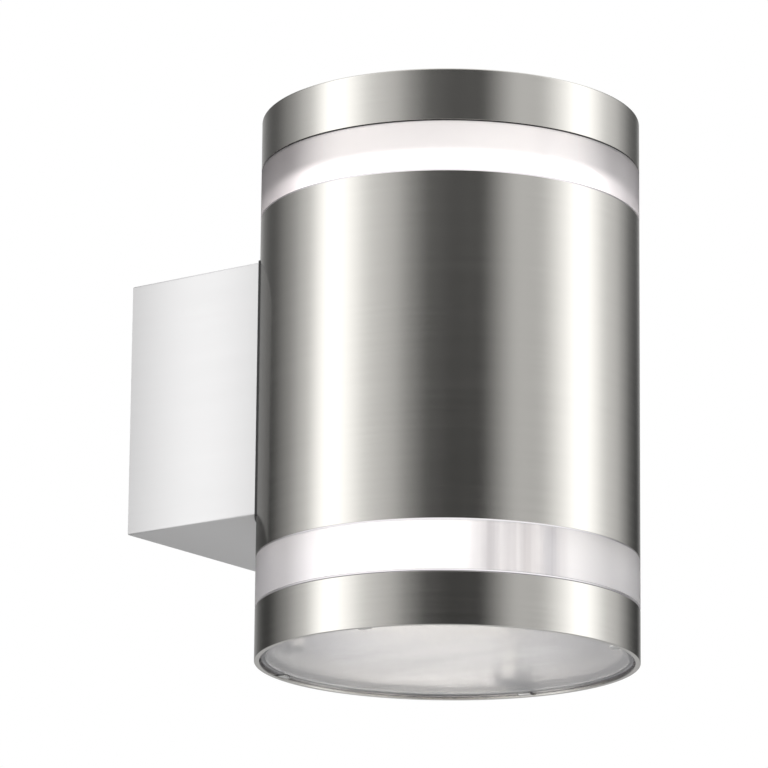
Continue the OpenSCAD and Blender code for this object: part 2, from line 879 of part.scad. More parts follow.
module terminal_block() {
    front = plate_front - block_d;
    color([0.9, 0.88, 0.82])
        difference() {
            translate([-block_w / 2, 0, block_z])
                rotate([90, 0, 90])
                    linear_extrude(block_w)
                        polygon([
                            [plate_front, -block_h / 2], [plate_front, block_h / 2],
                            [front + block_step_d, block_h / 2], [front, block_h / 2 - block_step],
                            [front, -block_h / 2 + block_step], [front + block_step_d, -block_h / 2]
                        ]);
            for (pole = [-1 : 1]) {
                translate([pole * pole_pitch, pole_y, block_z])
                    round_bar(wire_hole_r, -block_h, block_h);
                for (side = [-1, 1])
                    bar_y(clamp_r + fit_gap, front - over, front + clamp_bore,
                        pole * pole_pitch, block_z + side * clamp_offset);
            }
            bar_y(small_r + hole_gap, front - over, plate_front + over, -pole_pitch / 2, block_z);
        }
}

module terminal_screws() {
    seat = plate_front - block_d + clamp_bore;
    color([0.78, 0.7, 0.5])
        for (pole = [-1 : 1], side = [-1, 1])
            translate([pole * pole_pitch, seat, block_z + side * clamp_offset])
                difference() {
                    bar_y(clamp_r, -clamp_len, 0);
                    translate([0, -clamp_len, 0])
                        cube([clamp_r * 2 + over, clamp_slot * 2, clamp_slot], center = true);
                }
}

module block_screw() {
    color([0.7, 0.7, 0.7])
        translate([-pole_pitch / 2, plate_front - block_d, block_z])
            rotate([90, 0, 0])
                pan_screw(small_r, clamp_r, small_head_h, block_d + plate_t - near_gap, true);
}

module earth_screw() {
    color([0.8, 0.68, 0.4])
        translate([earth_x, plate_front, earth_z])
            rotate([90, 0, 0])
                pan_screw(screw_r, screw_head_r, screw_head_h, plate_t + near_gap, true);
}

function unit(v) = v / norm(v);

// Point on the curve that passes through every point of the list
function curve_at(p, i, t) =
    let (
        a = p[max(i - 1, 0)],
        b = p[i],
        c = p[min(i + 1, len(p) - 1)],
        d = p[min(i + 2, len(p) - 1)]
    )
    0.5 * (2 * b + (c - a) * t + (2 * a - 5 * b + 4 * c - d) * t * t + (3 * b - a - 3 * c + d) * t * t * t);

function smooth(p) =
    concat(
        [for (i = [0 : len(p) - 2], s = [0 : wire_steps - 1]) curve_at(p, i, s / wire_steps)],
        [p[len(p) - 1]]
    );

// Round wire swept along a route that never runs along X
module wire(points) {
    path = smooth(points);
    last = len(path) - 1;
    rings = [
        for (i = [0 : last])
            let (
                along = unit(path[min(i + 1, last)] - path[max(i - 1, 0)]),
                side = unit(cross([1, 0, 0], along)),
                up = cross(along, side)
            )
            for (k = [0 : wire_sides - 1])
                path[i] + wire_r * (cos(360 * k / wire_sides) * side + sin(360 * k / wire_sides) * up)
    ];
    start_face = [[for (k = [0 : wire_sides - 1]) k]];
    end_face = [[for (k = [wire_sides - 1 : -1 : 0]) last * wire_sides + k]];
    side_faces = [
        for (i = [0 : last - 1], k = [0 : wire_sides - 1])
            let (
                a = i * wire_sides + k,
                b = i * wire_sides + (k + 1) % wire_sides
            )
            for (face = [[a, a + wire_sides, b + wire_sides], [a, b + wire_sides, b]]) face
    ];
    polyhedron(points = rings, faces = concat(start_face, side_faces, end_face));
}

// Route from the block, over the nuts, through the grommet, up the tube and into the lampholder
function lamp_route(side) =
    let (
        out_z = block_top - wire_bite,
        loop_z = (block_top + plate_top - plate_t) / 2,
        drop_y = (plate_front - block_d + front_y) / 2,
        in_y = backing_flat - reach,
        turn = wire_d * wire_turn_share,
        entry_z = holder_top - wire_bore_drop,
        entry_y = holder_r - holder_waist - reach,
        x_out = side * pole_pitch,
        x_in = side * wire_pair,
        x_end = side * wire_bore_x
    )
    [
        [x_out, pole_y, out_z],
        [x_out, pole_y, block_top],
        [x_out, pole_y - wire_r, loop_z],
        [x_out * wire_fan_shares[0], (pole_y + drop_y) / 2, loop_z + wire_d],
        [x_out * wire_fan_shares[1], drop_y, loop_z - wire_d],
        [x_out * wire_fan_shares[2], drop_y, block_z],
        [x_out * wire_fan_shares[3], drop_y - wire_d, turn],
        [x_in, front_y + grommet_flange_t, 0],
        [x_in, (front_y + in_y) / 2, 0],
        [x_in, in_y - grommet_flange_t, 0],
        [x_in, tube_wire_y + wire_r / 2, turn],
        [x_in, tube_wire_y, turn * 3],
        [x_in * wire_pair_shares[0], tube_wire_y, body_top * wire_rise_shares[0]],
        [x_in * wire_pair_shares[1], tube_wire_y, body_top * wire_rise_shares[1]],
        [(x_in + x_end) / 2, tube_wire_y - wire_d, entry_z - wire_d * 4],
        [x_end, (tube_wire_y + entry_y) / 2 + wire_d, entry_z - wire_r],
        [x_end, entry_y + wire_d * 2, entry_z],
        [x_end, entry_y - wire_bore_depth, entry_z]
    ];

module live_wire() {
    color([0.45, 0.27, 0.15]) wire(lamp_route(-1));
}

module neutral_wire() {
    color([0.2, 0.35, 0.6]) wire(lamp_route(1));
}

// Route from the block's middle pole, under the plate's ear and down into the barrel of the earth tag
module earth_wire() {
    ear_pass_z = plate_top - plate_t - near_gap - wire_r;
    loop_z = box_half_h - box_t - near_gap - wire_r;
    bend_z = tag_z + wire_r;
    bend = loop_z - bend_z;
    color([0.45, 0.6, 0.25])
        wire([
            [0, pole_y, block_top - wire_bite],
            [0, pole_y, block_top],
            [0, pole_y - wire_r, block_top + wire_d * 2],
            [0, pole_y - wire_d * 2, ear_pass_z - wire_r],
            [0, (pole_y + tag_y) / 2, (ear_pass_z + loop_z) / 2],
            [0, tag_y + bend, loop_z],
            [0, tag_y + bend * (1 - cos(45)), bend_z + bend * sin(45)],
            [0, tag_y, bend_z],
            [0, tag_y, tag_z],
            [0, tag_y, tag_z - tag_barrel_h / 2],
            [0, tag_y, tag_z - tag_barrel_h]
        ]);
}

wall_plate();
wall_foam();
supply_grommet();
terminal_block();
terminal_screws();
block_screw();
earth_screw();
wall_box();
box_screws();
saddle_gasket();
backing_plate();
saddle_screws();
saddle_washer();
earth_tag();
saddle_nuts();
tube_grommet();
body_tube();
upper_band();
lower_band();
band_seals();
ring_seal();
top_cap();
thread_collar();
tie_rods();
holder_bracket();
bracket_screws();
holder_screws();
lampholder();
holder_shell();
centre_contact();
lamp_cap();
lamp_insulator();
lamp_tip();
lamp_housing();
lamp_board();
lamp_globe();
bottom_ring();
lens();
lens_gasket();
lens_clips();
live_wire();
neutral_wire();
earth_wire();
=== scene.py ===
import json
import math

import bmesh
import bpy
from mathutils import Matrix, Vector

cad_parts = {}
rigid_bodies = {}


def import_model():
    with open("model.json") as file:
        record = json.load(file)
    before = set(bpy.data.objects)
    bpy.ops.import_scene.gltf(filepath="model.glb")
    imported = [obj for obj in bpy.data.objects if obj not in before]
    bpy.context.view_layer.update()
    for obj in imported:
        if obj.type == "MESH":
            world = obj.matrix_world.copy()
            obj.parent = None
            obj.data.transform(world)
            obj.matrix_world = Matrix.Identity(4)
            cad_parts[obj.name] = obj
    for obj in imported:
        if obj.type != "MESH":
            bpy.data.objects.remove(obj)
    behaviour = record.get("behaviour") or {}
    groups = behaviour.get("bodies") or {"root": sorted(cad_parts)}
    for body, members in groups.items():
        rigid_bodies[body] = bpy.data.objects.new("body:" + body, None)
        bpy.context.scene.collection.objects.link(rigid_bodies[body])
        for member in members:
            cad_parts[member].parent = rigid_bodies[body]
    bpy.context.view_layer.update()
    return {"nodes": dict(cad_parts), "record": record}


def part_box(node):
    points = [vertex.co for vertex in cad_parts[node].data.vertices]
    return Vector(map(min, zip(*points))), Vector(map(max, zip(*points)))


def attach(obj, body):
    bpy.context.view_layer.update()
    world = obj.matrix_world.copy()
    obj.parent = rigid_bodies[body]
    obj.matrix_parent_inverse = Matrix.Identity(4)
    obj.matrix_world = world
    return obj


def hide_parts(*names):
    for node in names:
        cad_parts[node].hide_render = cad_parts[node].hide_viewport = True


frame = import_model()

# Units and places, all in metres in the light's own frame
mm = 0.001
cad = frame["nodes"]


def middle(node):
    """Centre of a CAD node's box."""
    low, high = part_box(node)
    return (low + high) / 2


def half_width(node):
    """Outer radius of a turned CAD node."""
    low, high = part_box(node)
    return (high.x - low.x) / 2


AXIS = Vector((0, middle("body_tube").y, 0))
REACH = -AXIS.y
TUBE_R = half_width("body_tube")
WALL = 1.5 * mm
BORE_R = TUBE_R - WALL
SPIGOT_R = BORE_R - 0.1 * mm
SEAL = 0.4 * mm
SPIGOT = 3 * mm
CAP_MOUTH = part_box("upper_band")[1].z - SPIGOT
EDGE_ROUND = 0.1 * mm
CROWN_ROUND = 0.4 * mm
SCREW_HOLE_R = 2.2 * mm
SCREW_TAP_R = 1.55 * mm
ROD_TAP_R = 2.05 * mm
WIRE_HOLE_R = 5 * mm
RING_PITCH = 1.5 * mm
ROD_PITCH = 0.7 * mm
LAMP_PITCH = 3.63 * mm
RING_THREAD = 0.45 * mm
ROD_HEAD_H = 2.6 * mm

# Shank radius, head radius, head height and slot width of each kind of screw with a head
LARGE_SCREW = (2 * mm, 3.8 * mm, 2.4 * mm, 0.9 * mm)
SMALL_SCREW = (1.5 * mm, 3 * mm, 2 * mm, 0.7 * mm)
NARROW_SCREW = (1.5 * mm, 2.2 * mm, 2 * mm, 0.7 * mm)

# Fineness of the meshes
TURNS = 256
SADDLE_TURNS = 384
ARC_STEPS = 5
PITCH_STEPS = 10
SHARP_FROM = math.radians(32)
WIRE_SHARP_FROM = math.radians(60)
EASED_FROM = math.radians(35)
FLAT_WITHIN = math.radians(0.5)
OVER = 1 * mm
MERGE = 0.001 * mm

# Flat run past a round, as a share of its radius, and fade of a thread, as a share of its pitch
FLAT_SHARE = 0.6
FADE_SHARE = 0.6

# Strengths of the lamp's glow and of the painted glow on the bands and lens, turn of the lens's painted
# streaks, and sides of the brighter painted glow and of the painted shade streaks
GLOBE_LIGHT = 6.0
GLOBE_SEEN = 0.8
GLOBE_RIM = 0.3
UPPER_LOW = 0.55
UPPER_HIGH = 0.29
LOWER_GLOW = 0.2
LENS_PAINTED_GLOW = 0.09
STREAK_TURN = math.radians(-36.8)
PAINTED_GLOW_SIDE = (-0.6, 0.8, 0)
SHADE_STREAK_SIDE = (-0.53, -0.848, 0)

# Directions and places
UP = (0, 0, 1)
DOWN = (0, 0, -1)
FRONT = (0, -1, 0)
BACK = (0, 1, 0)
HERE = Matrix.Identity(4)
ON_AXIS = Matrix.Translation(AXIS)


# Mesh making

def linked(name, data):
    """New object in the scene."""
    made = bpy.data.objects.new(name, data)
    bpy.context.scene.collection.objects.link(made)
    return made


def upright(centre):
    """Upright place at the level of the light's middle, straight above or below a point."""
    return Matrix.Translation((centre.x, centre.y, 0))


def facing(place, way):
    """Place whose own Z points along a direction."""
    turn = Vector(UP).rotation_difference(Vector(way))
    return Matrix.Translation(place) @ turn.to_matrix().to_4x4()


def arc_corner(before, corner, after, radius):
    """Points of a round corner between two straight runs, and one on each run to keep it flat."""
    corner = Vector(corner)
    if radius <= 0:
        return [corner]
    into = (Vector(before) - corner).normalized()
    out = (Vector(after) - corner).normalized()
    half = into.angle(out) / 2
    reach = radius / math.tan(half)
    centre = corner + (into + out).normalized() * (radius / math.sin(half))
    first = corner + into * reach - centre
    last = corner + out * reach - centre
    sweep = first.angle_signed(last)
    beyond = reach + radius * FLAT_SHARE
    points = [corner + into * beyond]
    for i in range(ARC_STEPS + 1):
        points.append(centre + Matrix.Rotation(-sweep * i / ARC_STEPS, 2) @ first)
    points.append(corner + out * beyond)
    return points


def soften(outline):
    """Outline as (radius, height, thread depth), from points that also name the round of their corner."""
    rounded = []
    count = len(outline)
    for i, (x, z, round_r, *thread) in enumerate(outline):
        before = outline[i - 1][:2]
        after = outline[(i + 1) % count][:2]
        for point in arc_corner(before, (x, z), after, round_r):
            rounded.append((point.x, point.y, thread[0] if thread else 0.0))
    return rounded


def thread_run(radius, low, high, depth, pitch):
    """Points up a threaded wall. The depth fades out at both ends."""
    steps = math.ceil((high - low) / pitch * PITCH_STEPS)
    run = []
    for i in range(steps + 1):
        height = low + (high - low) * i / steps
        fade = min(min(height - low, high - height) / (pitch * FADE_SHARE), 1)
        run.append((radius, height, 0, depth * fade))
    return run


def turned_mesh(outline, turns=TURNS, pitch=1.0):
    """Closed mesh made by turning a closed outline once round Z. Its thread depths follow a helix."""
    made = bmesh.new()
    rings = []
    for radius, height, depth in soften(outline):
        if radius < MERGE:
            rings.append([made.verts.new((0, 0, height))])
            continue
        ring = []
        for k in range(turns):
            angle = math.tau * k / turns
            r = radius + depth * (0.5 + 0.5 * math.cos(math.tau * height / pitch - angle))
            ring.append(made.verts.new((r * math.cos(angle), r * math.sin(angle), height)))
        rings.append(ring)
    for i, ring in enumerate(rings):
        other = rings[(i + 1) % len(rings)]
        if len(ring) == 1 and len(other) == 1:
            continue
        for k in range(turns):
            k_next = (k + 1) % turns
            corners = [ring[k % len(ring)], ring[k_next % len(ring)],
                       other[k_next % len(other)], other[k % len(other)]]
            made.faces.new(list(dict.fromkeys(corners)))
    bmesh.ops.recalc_face_normals(made, faces=made.faces)
    return to_mesh(made, "turned")


def to_mesh(made, name):
    """Plain mesh from a working mesh, which ends here."""
    mesh = bpy.data.meshes.new(name)
    made.to_mesh(mesh)
    made.free()
    return mesh


def bar_mesh(radius, low, high, turns=48):
    """Plain round bar along Z."""
    return turned_mesh([(0, low, 0), (radius, low, 0), (radius, high, 0), (0, high, 0)], turns)


def block_mesh(low, high):
    """Plain box between two corners."""
    low = Vector(low)
    size = Vector(high) - low
    made = bmesh.new()
    bmesh.ops.create_cube(made, size=1)
    for vertex in made.verts:
        share = vertex.co + Vector((0.5, 0.5, 0.5))
        vertex.co = low + Vector((share.x * size.x, share.y * size.y, share.z * size.z))
    return to_mesh(made, "block")


def folded_mesh(half_w, half_h, fold_r, low_y, high_y):
    """Rectangle in X and Z with round corners, drawn out from one Y to another."""
    corners = [(-half_w, -half_h), (half_w, -half_h), (half_w, half_h), (-half_w, half_h)]
    outline = []
    for i, corner in enumerate(corners):
        outline.extend(arc_corner(corners[i - 1], corner, corners[(i + 1) % 4], fold_r))
    made = bmesh.new()
    near = [made.verts.new((x, low_y, z)) for x, z in outline]
    far = [made.verts.new((x, high_y, z)) for x, z in outline]
    made.faces.new(near)
    made.faces.new(list(reversed(far)))
    for k in range(len(outline)):
        k_next = (k + 1) % len(outline)
        made.faces.new([near[k], far[k], far[k_next], near[k_next]])
    bmesh.ops.recalc_face_normals(made, faces=made.faces)
    return to_mesh(made, "folded")


def evaluated(piece):
    """Mesh of a scratch piece with its modifiers applied. The piece ends here."""
    bpy.context.view_layer.update()
    graph = bpy.context.evaluated_depsgraph_get()
    mesh = bpy.data.meshes.new_from_object(piece.evaluated_get(graph))
    bpy.data.objects.remove(piece)
    return mesh


def combined(base, other, place=HERE, operation="DIFFERENCE"):
    """Mesh with another cut from it, added to it, or kept where both are."""
    piece = linked("base", base)
    cutter = linked("cutter", other)
    cutter.matrix_world = place
    step = piece.modifiers.new("combine", "BOOLEAN")
    step.operation = operation
    step.solver = "EXACT"
    step.object = cutter
    result = evaluated(piece)
    bpy.data.objects.remove(cutter)
    return result


def eased(mesh, width):
    """Mesh with its sharp edges rounded."""
    piece = linked("base", mesh)
    step = piece.modifiers.new("ease", "BEVEL")
    step.width = width
    step.segments = 2
    step.limit_method = "ANGLE"
    step.angle_limit = EASED_FROM
    return evaluated(piece)


def cad_shape(node):
    """Working mesh of a CAD node, with the points of its triangles joined."""
    made = bmesh.new()
    made.from_mesh(cad[node].data)
    bmesh.ops.remove_doubles(made, verts=made.verts, dist=MERGE)
    return made


def plain_solid(node):
    """CAD node's shape with its flat faces whole, for easing or smoothing."""
    made = cad_shape(node)
    bmesh.ops.dissolve_limit(made, angle_limit=FLAT_WITHIN, verts=made.verts, edges=made.edges)
    return to_mesh(made, node)


def solids(node):
    """(centre, size) of each separate solid in a CAD node, in order up Z, then along X."""
    made = cad_shape(node)
    made.verts.ensure_lookup_table()
    seen = set()
    found = []
    for start in made.verts:
        if start in seen:
            continue
        seen.add(start)
        stack = [start]
        points = []
        while stack:
            vertex = stack.pop()
            points.append(vertex.co.copy())
            for edge in vertex.link_edges:
                other = edge.other_vert(vertex)
                if other not in seen:
                    seen.add(other)
                    stack.append(other)
        low = Vector([min(p[i] for p in points) for i in range(3)])
        high = Vector([max(p[i] for p in points) for i in range(3)])
        found.append(((low + high) / 2, high - low))
    made.free()
    return sorted(found, key=lambda solid: (round(solid[0].z, 5), round(solid[0].x, 5)))


# Effects that several finishes share, as node groups

def new_group(name, inputs, outputs):
    """Shader node group with number inputs, as (name, value), and number outputs."""
    group = bpy.data.node_groups.new(name, "ShaderNodeTree")
    for label, value in inputs:
        socket = group.interface.new_socket(name=label, in_out="INPUT", socket_type="NodeSocketFloat")
        socket.default_value = value
    for label in outputs:
        group.interface.new_socket(name=label, in_out="OUTPUT", socket_type="NodeSocketFloat")
    group.nodes.new("NodeGroupInput").name = "in"
    group.nodes.new("NodeGroupOutput").name = "out"
    return group


def given(group, label):
    """Socket of a group's input, to be used inside it."""
    return group.nodes["in"].outputs[label]


def give(group, label, value):
    """Hands a value out of a group."""
    group.links.new(value, group.nodes["out"].inputs[label])


def add_node(tree, kind, inputs, **settings):
    """Shader node with its settings. Each input is set to a value, or fed by a socket."""
    node = tree.nodes.new(kind)
    for label, value in settings.items():
        setattr(node, label, value)
    for label, value in inputs.items():
        if isinstance(value, bpy.types.NodeSocket):
            tree.links.new(value, node.inputs[label])
        else:
            node.inputs[label].default_value = value
    return node


def math_node(tree, operation, a, b=0.5):
    """Math on sockets or numbers. An operation on a alone leaves b out."""
    return add_node(tree, "ShaderNodeMath", {0: a, 1: b}, operation=operation).outputs[0]


def vector_node(tree, operation, *inputs):
    """Vector Math node whose inputs are sockets or vectors."""
    return add_node(tree, "ShaderNodeVectorMath", dict(enumerate(inputs)), operation=operation)


def product(tree, first, *others):
    """Sockets and numbers multiplied with each other."""
    for other in others:
        first = math_node(tree, "MULTIPLY", first, other)
    return first


def stretch_node(tree, low, high, value, low_to=0.0, high_to=1.0, smooth=False):
    """Map Range node from one span to another."""
    inputs = {"Value": value, "From Min": low, "From Max": high, "To Min": low_to, "To Max": high_to}
    course = "SMOOTHSTEP" if smooth else "LINEAR"
    return add_node(tree, "ShaderNodeMapRange", inputs, interpolation_type=course).outputs["Result"]


def noise_node(tree, vector, scale, detail, roughness=0.5):
    """Noise texture's value at a scale per metre."""
    inputs = {"Vector": vector, "Scale": scale, "Detail": detail, "Roughness": roughness}
    return add_node(tree, "ShaderNodeTexNoise", inputs).outputs["Fac"]


def own_place(tree):
    """Coordinates in the piece's own frame, which for pieces on the tube's axis is centred on it."""
    return add_node(tree, "ShaderNodeTexCoord", {}).outputs["Object"]


def scaled_place(tree, x, y, z):
    """Own coordinates with each axis scaled by itself."""
    return vector_node(tree, "MULTIPLY", own_place(tree), (x, y, z)).outputs[0]


def height_of(tree):
    """Height in the piece's own frame."""
    return add_node(tree, "ShaderNodeSeparateXYZ", {0: own_place(tree)}).outputs["Z"]


def off_axis(tree):
    """Level distance from the Z axis of the piece's own frame."""
    return vector_node(tree, "LENGTH", scaled_place(tree, 1, 1, 0)).outputs["Value"]


def swing(tree, noise, amount):
    """Tone near 1 that sways with a noise."""
    offset = math_node(tree, "SUBTRACT", noise, 0.5)
    return math_node(tree, "ADD", product(tree, offset, amount), 1.0)


def brushing_group(name, fine, broad):
    """Fine brushed lines. fine and broad are counts per metre along each axis of the two noises."""
    group = new_group(name, [("Streaks", 0.04)], ["Height", "Tone", "Spread"])
    lines = noise_node(group, scaled_place(group, *fine), 1.0, 3.0, 0.7)
    bands = noise_node(group, scaled_place(group, *broad), 1.0, 2.0, 0.6)
    give(group, "Height", lines)
    give(group, "Tone", swing(group, bands, given(group, "Streaks")))
    give(group, "Spread", bands)
    return group


def handling_group():
    """Faint smears and dust from handling: a mask from 0, clean, to 1."""
    group = new_group("handling marks", [("Amount", 0.2)], ["Mask"])
    broad = noise_node(group, own_place(group), 28.0, 4.0, 0.55)
    fine = noise_node(group, own_place(group), 420.0, 3.0, 0.6)
    patch = stretch_node(group, 0.42, 0.72, broad)
    grit = stretch_node(group, 0.35, 0.8, fine)
    give(group, "Mask", product(group, patch, grit, given(group, "Amount")))
    return group


def worn_edges_group():
    """Outer edges, where a finish is rubbed bright: a mask from 0 to 1."""
    group = new_group("worn edges", [("Amount", 0.5)], ["Mask"])
    shape = group.nodes.new("ShaderNodeNewGeometry")
    ridge = stretch_node(group, 0.53, 0.6, shape.outputs["Pointiness"])
    broken = noise_node(group, own_place(group), 300.0, 3.0, 0.6)
    give(group, "Mask", product(group, ridge, broken, given(group, "Amount")))
    return group


def skin_group():
    """Grain of a moulded, cast or fired surface: height, and a tone near 1."""
    group = new_group("moulded skin", [("Grain", 900.0), ("Mottle", 0.06)], ["Height", "Tone"])
    place = own_place(group)
    grain = noise_node(group, place, given(group, "Grain"), 3.0)
    cloud = noise_node(group, place, 60.0, 3.0)
    give(group, "Height", grain)
    give(group, "Tone", swing(group, cloud, given(group, "Mottle")))
    return group


ROUND_BRUSHING = brushing_group("brushing round the tube", (60, 60, 9000), (14, 14, 700))
DEPTH_BRUSHING = brushing_group("brushing along the box", (7000, 50, 7000), (500, 12, 500))
HANDLING = handling_group()
WORN_EDGES = worn_edges_group()
SKIN = skin_group()


# Finishes

class Finish:
    """Material with one Principled shader, and the few steps that the finishes here repeat."""

    def __init__(self, name, colour, roughness, metallic=0.0):
        self.material = bpy.data.materials.new(name)
        self.material.use_nodes = True
        self.tree = self.material.node_tree
        self.shader = self.tree.nodes["Principled BSDF"]
        self.colour = colour
        self.set("Base Color", (*colour, 1))
        self.set("Metallic", metallic)
        self.set("Roughness", roughness)
        self.material.diffuse_color = (*colour, 1)

    def set(self, socket, value):
        """Sets a value that is the same all over the surface."""
        self.shader.inputs[socket].default_value = value

    def link(self, value, socket):
        """Feeds a socket of the shader."""
        self.tree.links.new(value, self.shader.inputs[socket])

    def base(self):
        """What feeds the finish's colour so far."""
        return self.shader.inputs["Base Color"].links[0].from_socket

    def group(self, group, **values):
        """Places a shared effect with its own values."""
        return add_node(self.tree, "ShaderNodeGroup", values, node_tree=group)

    def mix(self, factor, low, high):
        """Colour that goes from one colour or socket to another as a mask goes from 0 to 1."""
        inputs = {0: factor}
        for slot, colour in ((6, low), (7, high)):
            inputs[slot] = (*colour, 1) if isinstance(colour, tuple) else colour
        return add_node(self.tree, "ShaderNodeMix", inputs, data_type="RGBA").outputs[2]

    def toned(self, tone):
        """The finish's colour, lighter and darker with a tone near 1."""
        darker = tuple(c * 0.5 for c in self.colour)
        lighter = tuple(min(c * 1.5, 1.0) for c in self.colour)
        return self.mix(stretch_node(self.tree, 0.5, 1.5, tone), darker, lighter)

    def bump(self, height, distance, strength=1.0):
        """Small relief from a height, in metres."""
        relief = {"Distance": distance, "Strength": strength, "Height": height}
        self.link(add_node(self.tree, "ShaderNodeBump", relief).outputs["Normal"], "Normal")

    def rough_from(self, value, low, high):
        """Roughness that runs between two values with a mask."""
        self.link(stretch_node(self.tree, 0.0, 1.0, value, low, high), "Roughness")


def brushed_steel(name, colour, brushing, rough_low, rough_high, streaks, worn):
    """Stainless sheet with fine brushed lines, handling marks and edges rubbed a little brighter."""
    finish = Finish(name, colour, rough_low, metallic=1.0)
    lines = finish.group(brushing, Streaks=streaks)
    marks = finish.group(HANDLING, Amount=0.25)
    edges = finish.group(WORN_EDGES, Amount=worn)
    toned = finish.toned(lines.outputs["Tone"])
    bright = tuple(min(c * 1.15, 1.0) for c in colour)
    finish.link(finish.mix(edges.outputs["Mask"], toned, bright), "Base Color")
    spread = math_node(finish.tree, "ADD", lines.outputs["Spread"], marks.outputs["Mask"])
    finish.rough_from(spread, rough_low, rough_high)
    finish.bump(lines.outputs["Height"], 0.004 * mm, 0.6)
    return finish


def tube_steel():
    """Sheet of the tube, brushed round it, which draws out what it mirrors."""
    finish = brushed_steel("tube_steel", (0.63, 0.616, 0.583), ROUND_BRUSHING, 0.13, 0.24, 0.05, 0.6)
    finish.set("Anisotropic", 0.65)
    finish.set("Anisotropic Rotation", 0.25)
    return finish.material


def box_steel():
    """Sheet of the box, with painted shade in mirrors: where the tube mirrors it, its colour is mixed to
    dark grey.
    """
    finish = brushed_steel("box_steel", (0.93, 0.915, 0.92), DEPTH_BRUSHING, 0.44, 0.52, 0.06, 0.0)
    # Painted shade: seen by a mirror ray, the sheet's colour turns dark grey
    rays = finish.tree.nodes.new("ShaderNodeLightPath")
    finish.link(finish.mix(rays.outputs["Is Glossy Ray"], finish.base(), (0.2, 0.2, 0.2)), "Base Color")
    return finish.material


def moulded(name, colour, roughness, grain, relief, mottle=0.06):
    """Plain moulded, cast or fired surface."""
    finish = Finish(name, colour, roughness)
    skin = finish.group(SKIN, Grain=grain, Mottle=mottle)
    marks = finish.group(HANDLING, Amount=0.5)
    finish.link(finish.toned(skin.outputs["Tone"]), "Base Color")
    finish.rough_from(marks.outputs["Mask"], roughness, min(roughness + 0.15, 1.0))
    finish.bump(skin.outputs["Height"], relief)
    return finish


def plated(name, colour, roughness):
    """Plated, cast or plain small metal part, slightly uneven."""
    finish = moulded(name, colour, roughness, 1800.0, 0.004 * mm, 0.1)
    finish.set("Metallic", 1.0)
    edges = finish.group(WORN_EDGES, Amount=0.7)
    bright = tuple(min(c * 1.3, 1.0) for c in colour)
    finish.link(finish.mix(edges.outputs["Mask"], finish.base(), bright), "Base Color")
    return finish


def galvanised():
    """Zinc-coated sheet, with its pattern of grey crystals."""
    finish = plated("galvanised", (0.56, 0.58, 0.6), 0.4)
    tree = finish.tree
    cells = add_node(tree, "ShaderNodeTexVoronoi", {"Scale": 260.0, "Vector": own_place(tree)})
    grey = add_node(tree, "ShaderNodeSeparateColor", {0: cells.outputs["Color"]})
    finish.rough_from(grey.outputs[0], 0.3, 0.5)
    finish.link(finish.mix(grey.outputs[1], (0.5, 0.52, 0.54), (0.6, 0.62, 0.64)), "Base Color")
    return finish.material


def facing_share(tree, low, high, low_to, high_to):
    """Value from low_to to high_to as the slant goes from low to high, with 0 square on and 1 edge on."""
    weight = add_node(tree, "ShaderNodeLayerWeight", {"Blend": 0.5})
    return stretch_node(tree, low, high, weight.outputs["Facing"], low_to, high_to, True)


def toward(tree, side):
    """How far a place lies toward a level direction from the axis: 1 on that side, -1 on the other."""
    level = vector_node(tree, "NORMALIZE", scaled_place(tree, 1, 1, 0)).outputs[0]
    return vector_node(tree, "DOT_PRODUCT", level, side).outputs["Value"]


def clear_band():
    """Frosted clear plastic that lets the lamp's light through, with a painted glow on top, most low on
    the upper band, and painted shade toward its edges and in streaks on one side of the lower band.
    """
    finish = moulded("clear_band", (0.95, 0.94, 0.95), 0.45, 500.0, 0.002 * mm, 0.02)
    finish.set("Transmission Weight", 0.82)
    finish.set("IOR", 1.49)
    tree = finish.tree
    height = height_of(tree)
    upper = stretch_node(tree, 0.0, 1 * mm, height)
    lower = math_node(tree, "SUBTRACT", 1.0, upper)

    # Painted glow of the upper band, stronger below its middle
    line = middle("upper_band").z
    low_part = stretch_node(tree, line, line - 3.6 * mm, height, 0.0, UPPER_LOW, True)
    low_part = product(tree, low_part, facing_share(tree, 0.28, 0.7, 1.0, 0.05))
    whole = facing_share(tree, 0.2, 0.55, UPPER_HIGH, 0.0)
    upper_glow = product(tree, upper, math_node(tree, "ADD", low_part, whole))

    # Painted glow of the lower band, stronger toward one side
    lean = stretch_node(tree, 0.0, 1.0, toward(tree, PAINTED_GLOW_SIDE), 1.0, 2.2)
    lower_glow = product(tree, facing_share(tree, 0.15, 0.5, LOWER_GLOW, 0.0), lean)
    glow = math_node(tree, "ADD", upper_glow, product(tree, lower, lower_glow))
    finish.link(finish.mix(upper, (1.0, 0.965, 1.0), (1.0, 0.94, 0.93)), "Emission Color")
    finish.link(glow, "Emission Strength")

    # Painted shade, darker where the band turns edge on, most on the upper band, and dark streaks painted
    # on one side of the lower band
    slant = stretch_node(tree, 0.0, 1.0, upper, 0.6, 1.0)
    slant = product(tree, slant, facing_share(tree, 0.2, 0.5, 0.0, 1.0))
    seen = finish.mix(slant, finish.base(), (0.25, 0.24, 0.25))
    beside = stretch_node(tree, 0.955, 0.985, toward(tree, SHADE_STREAK_SIDE), 0.0, 1.0, True)
    streaks = noise_node(tree, scaled_place(tree, 330, 330, 4), 1.0, 2.0, 0.5)
    streaks = stretch_node(tree, 0.35, 0.65, streaks, 0.55, 1.0)
    painted_shade_streaks = product(tree, beside, lower, streaks)
    finish.link(finish.mix(painted_shade_streaks, seen, (0.3, 0.29, 0.295)), "Base Color")
    return finish.material


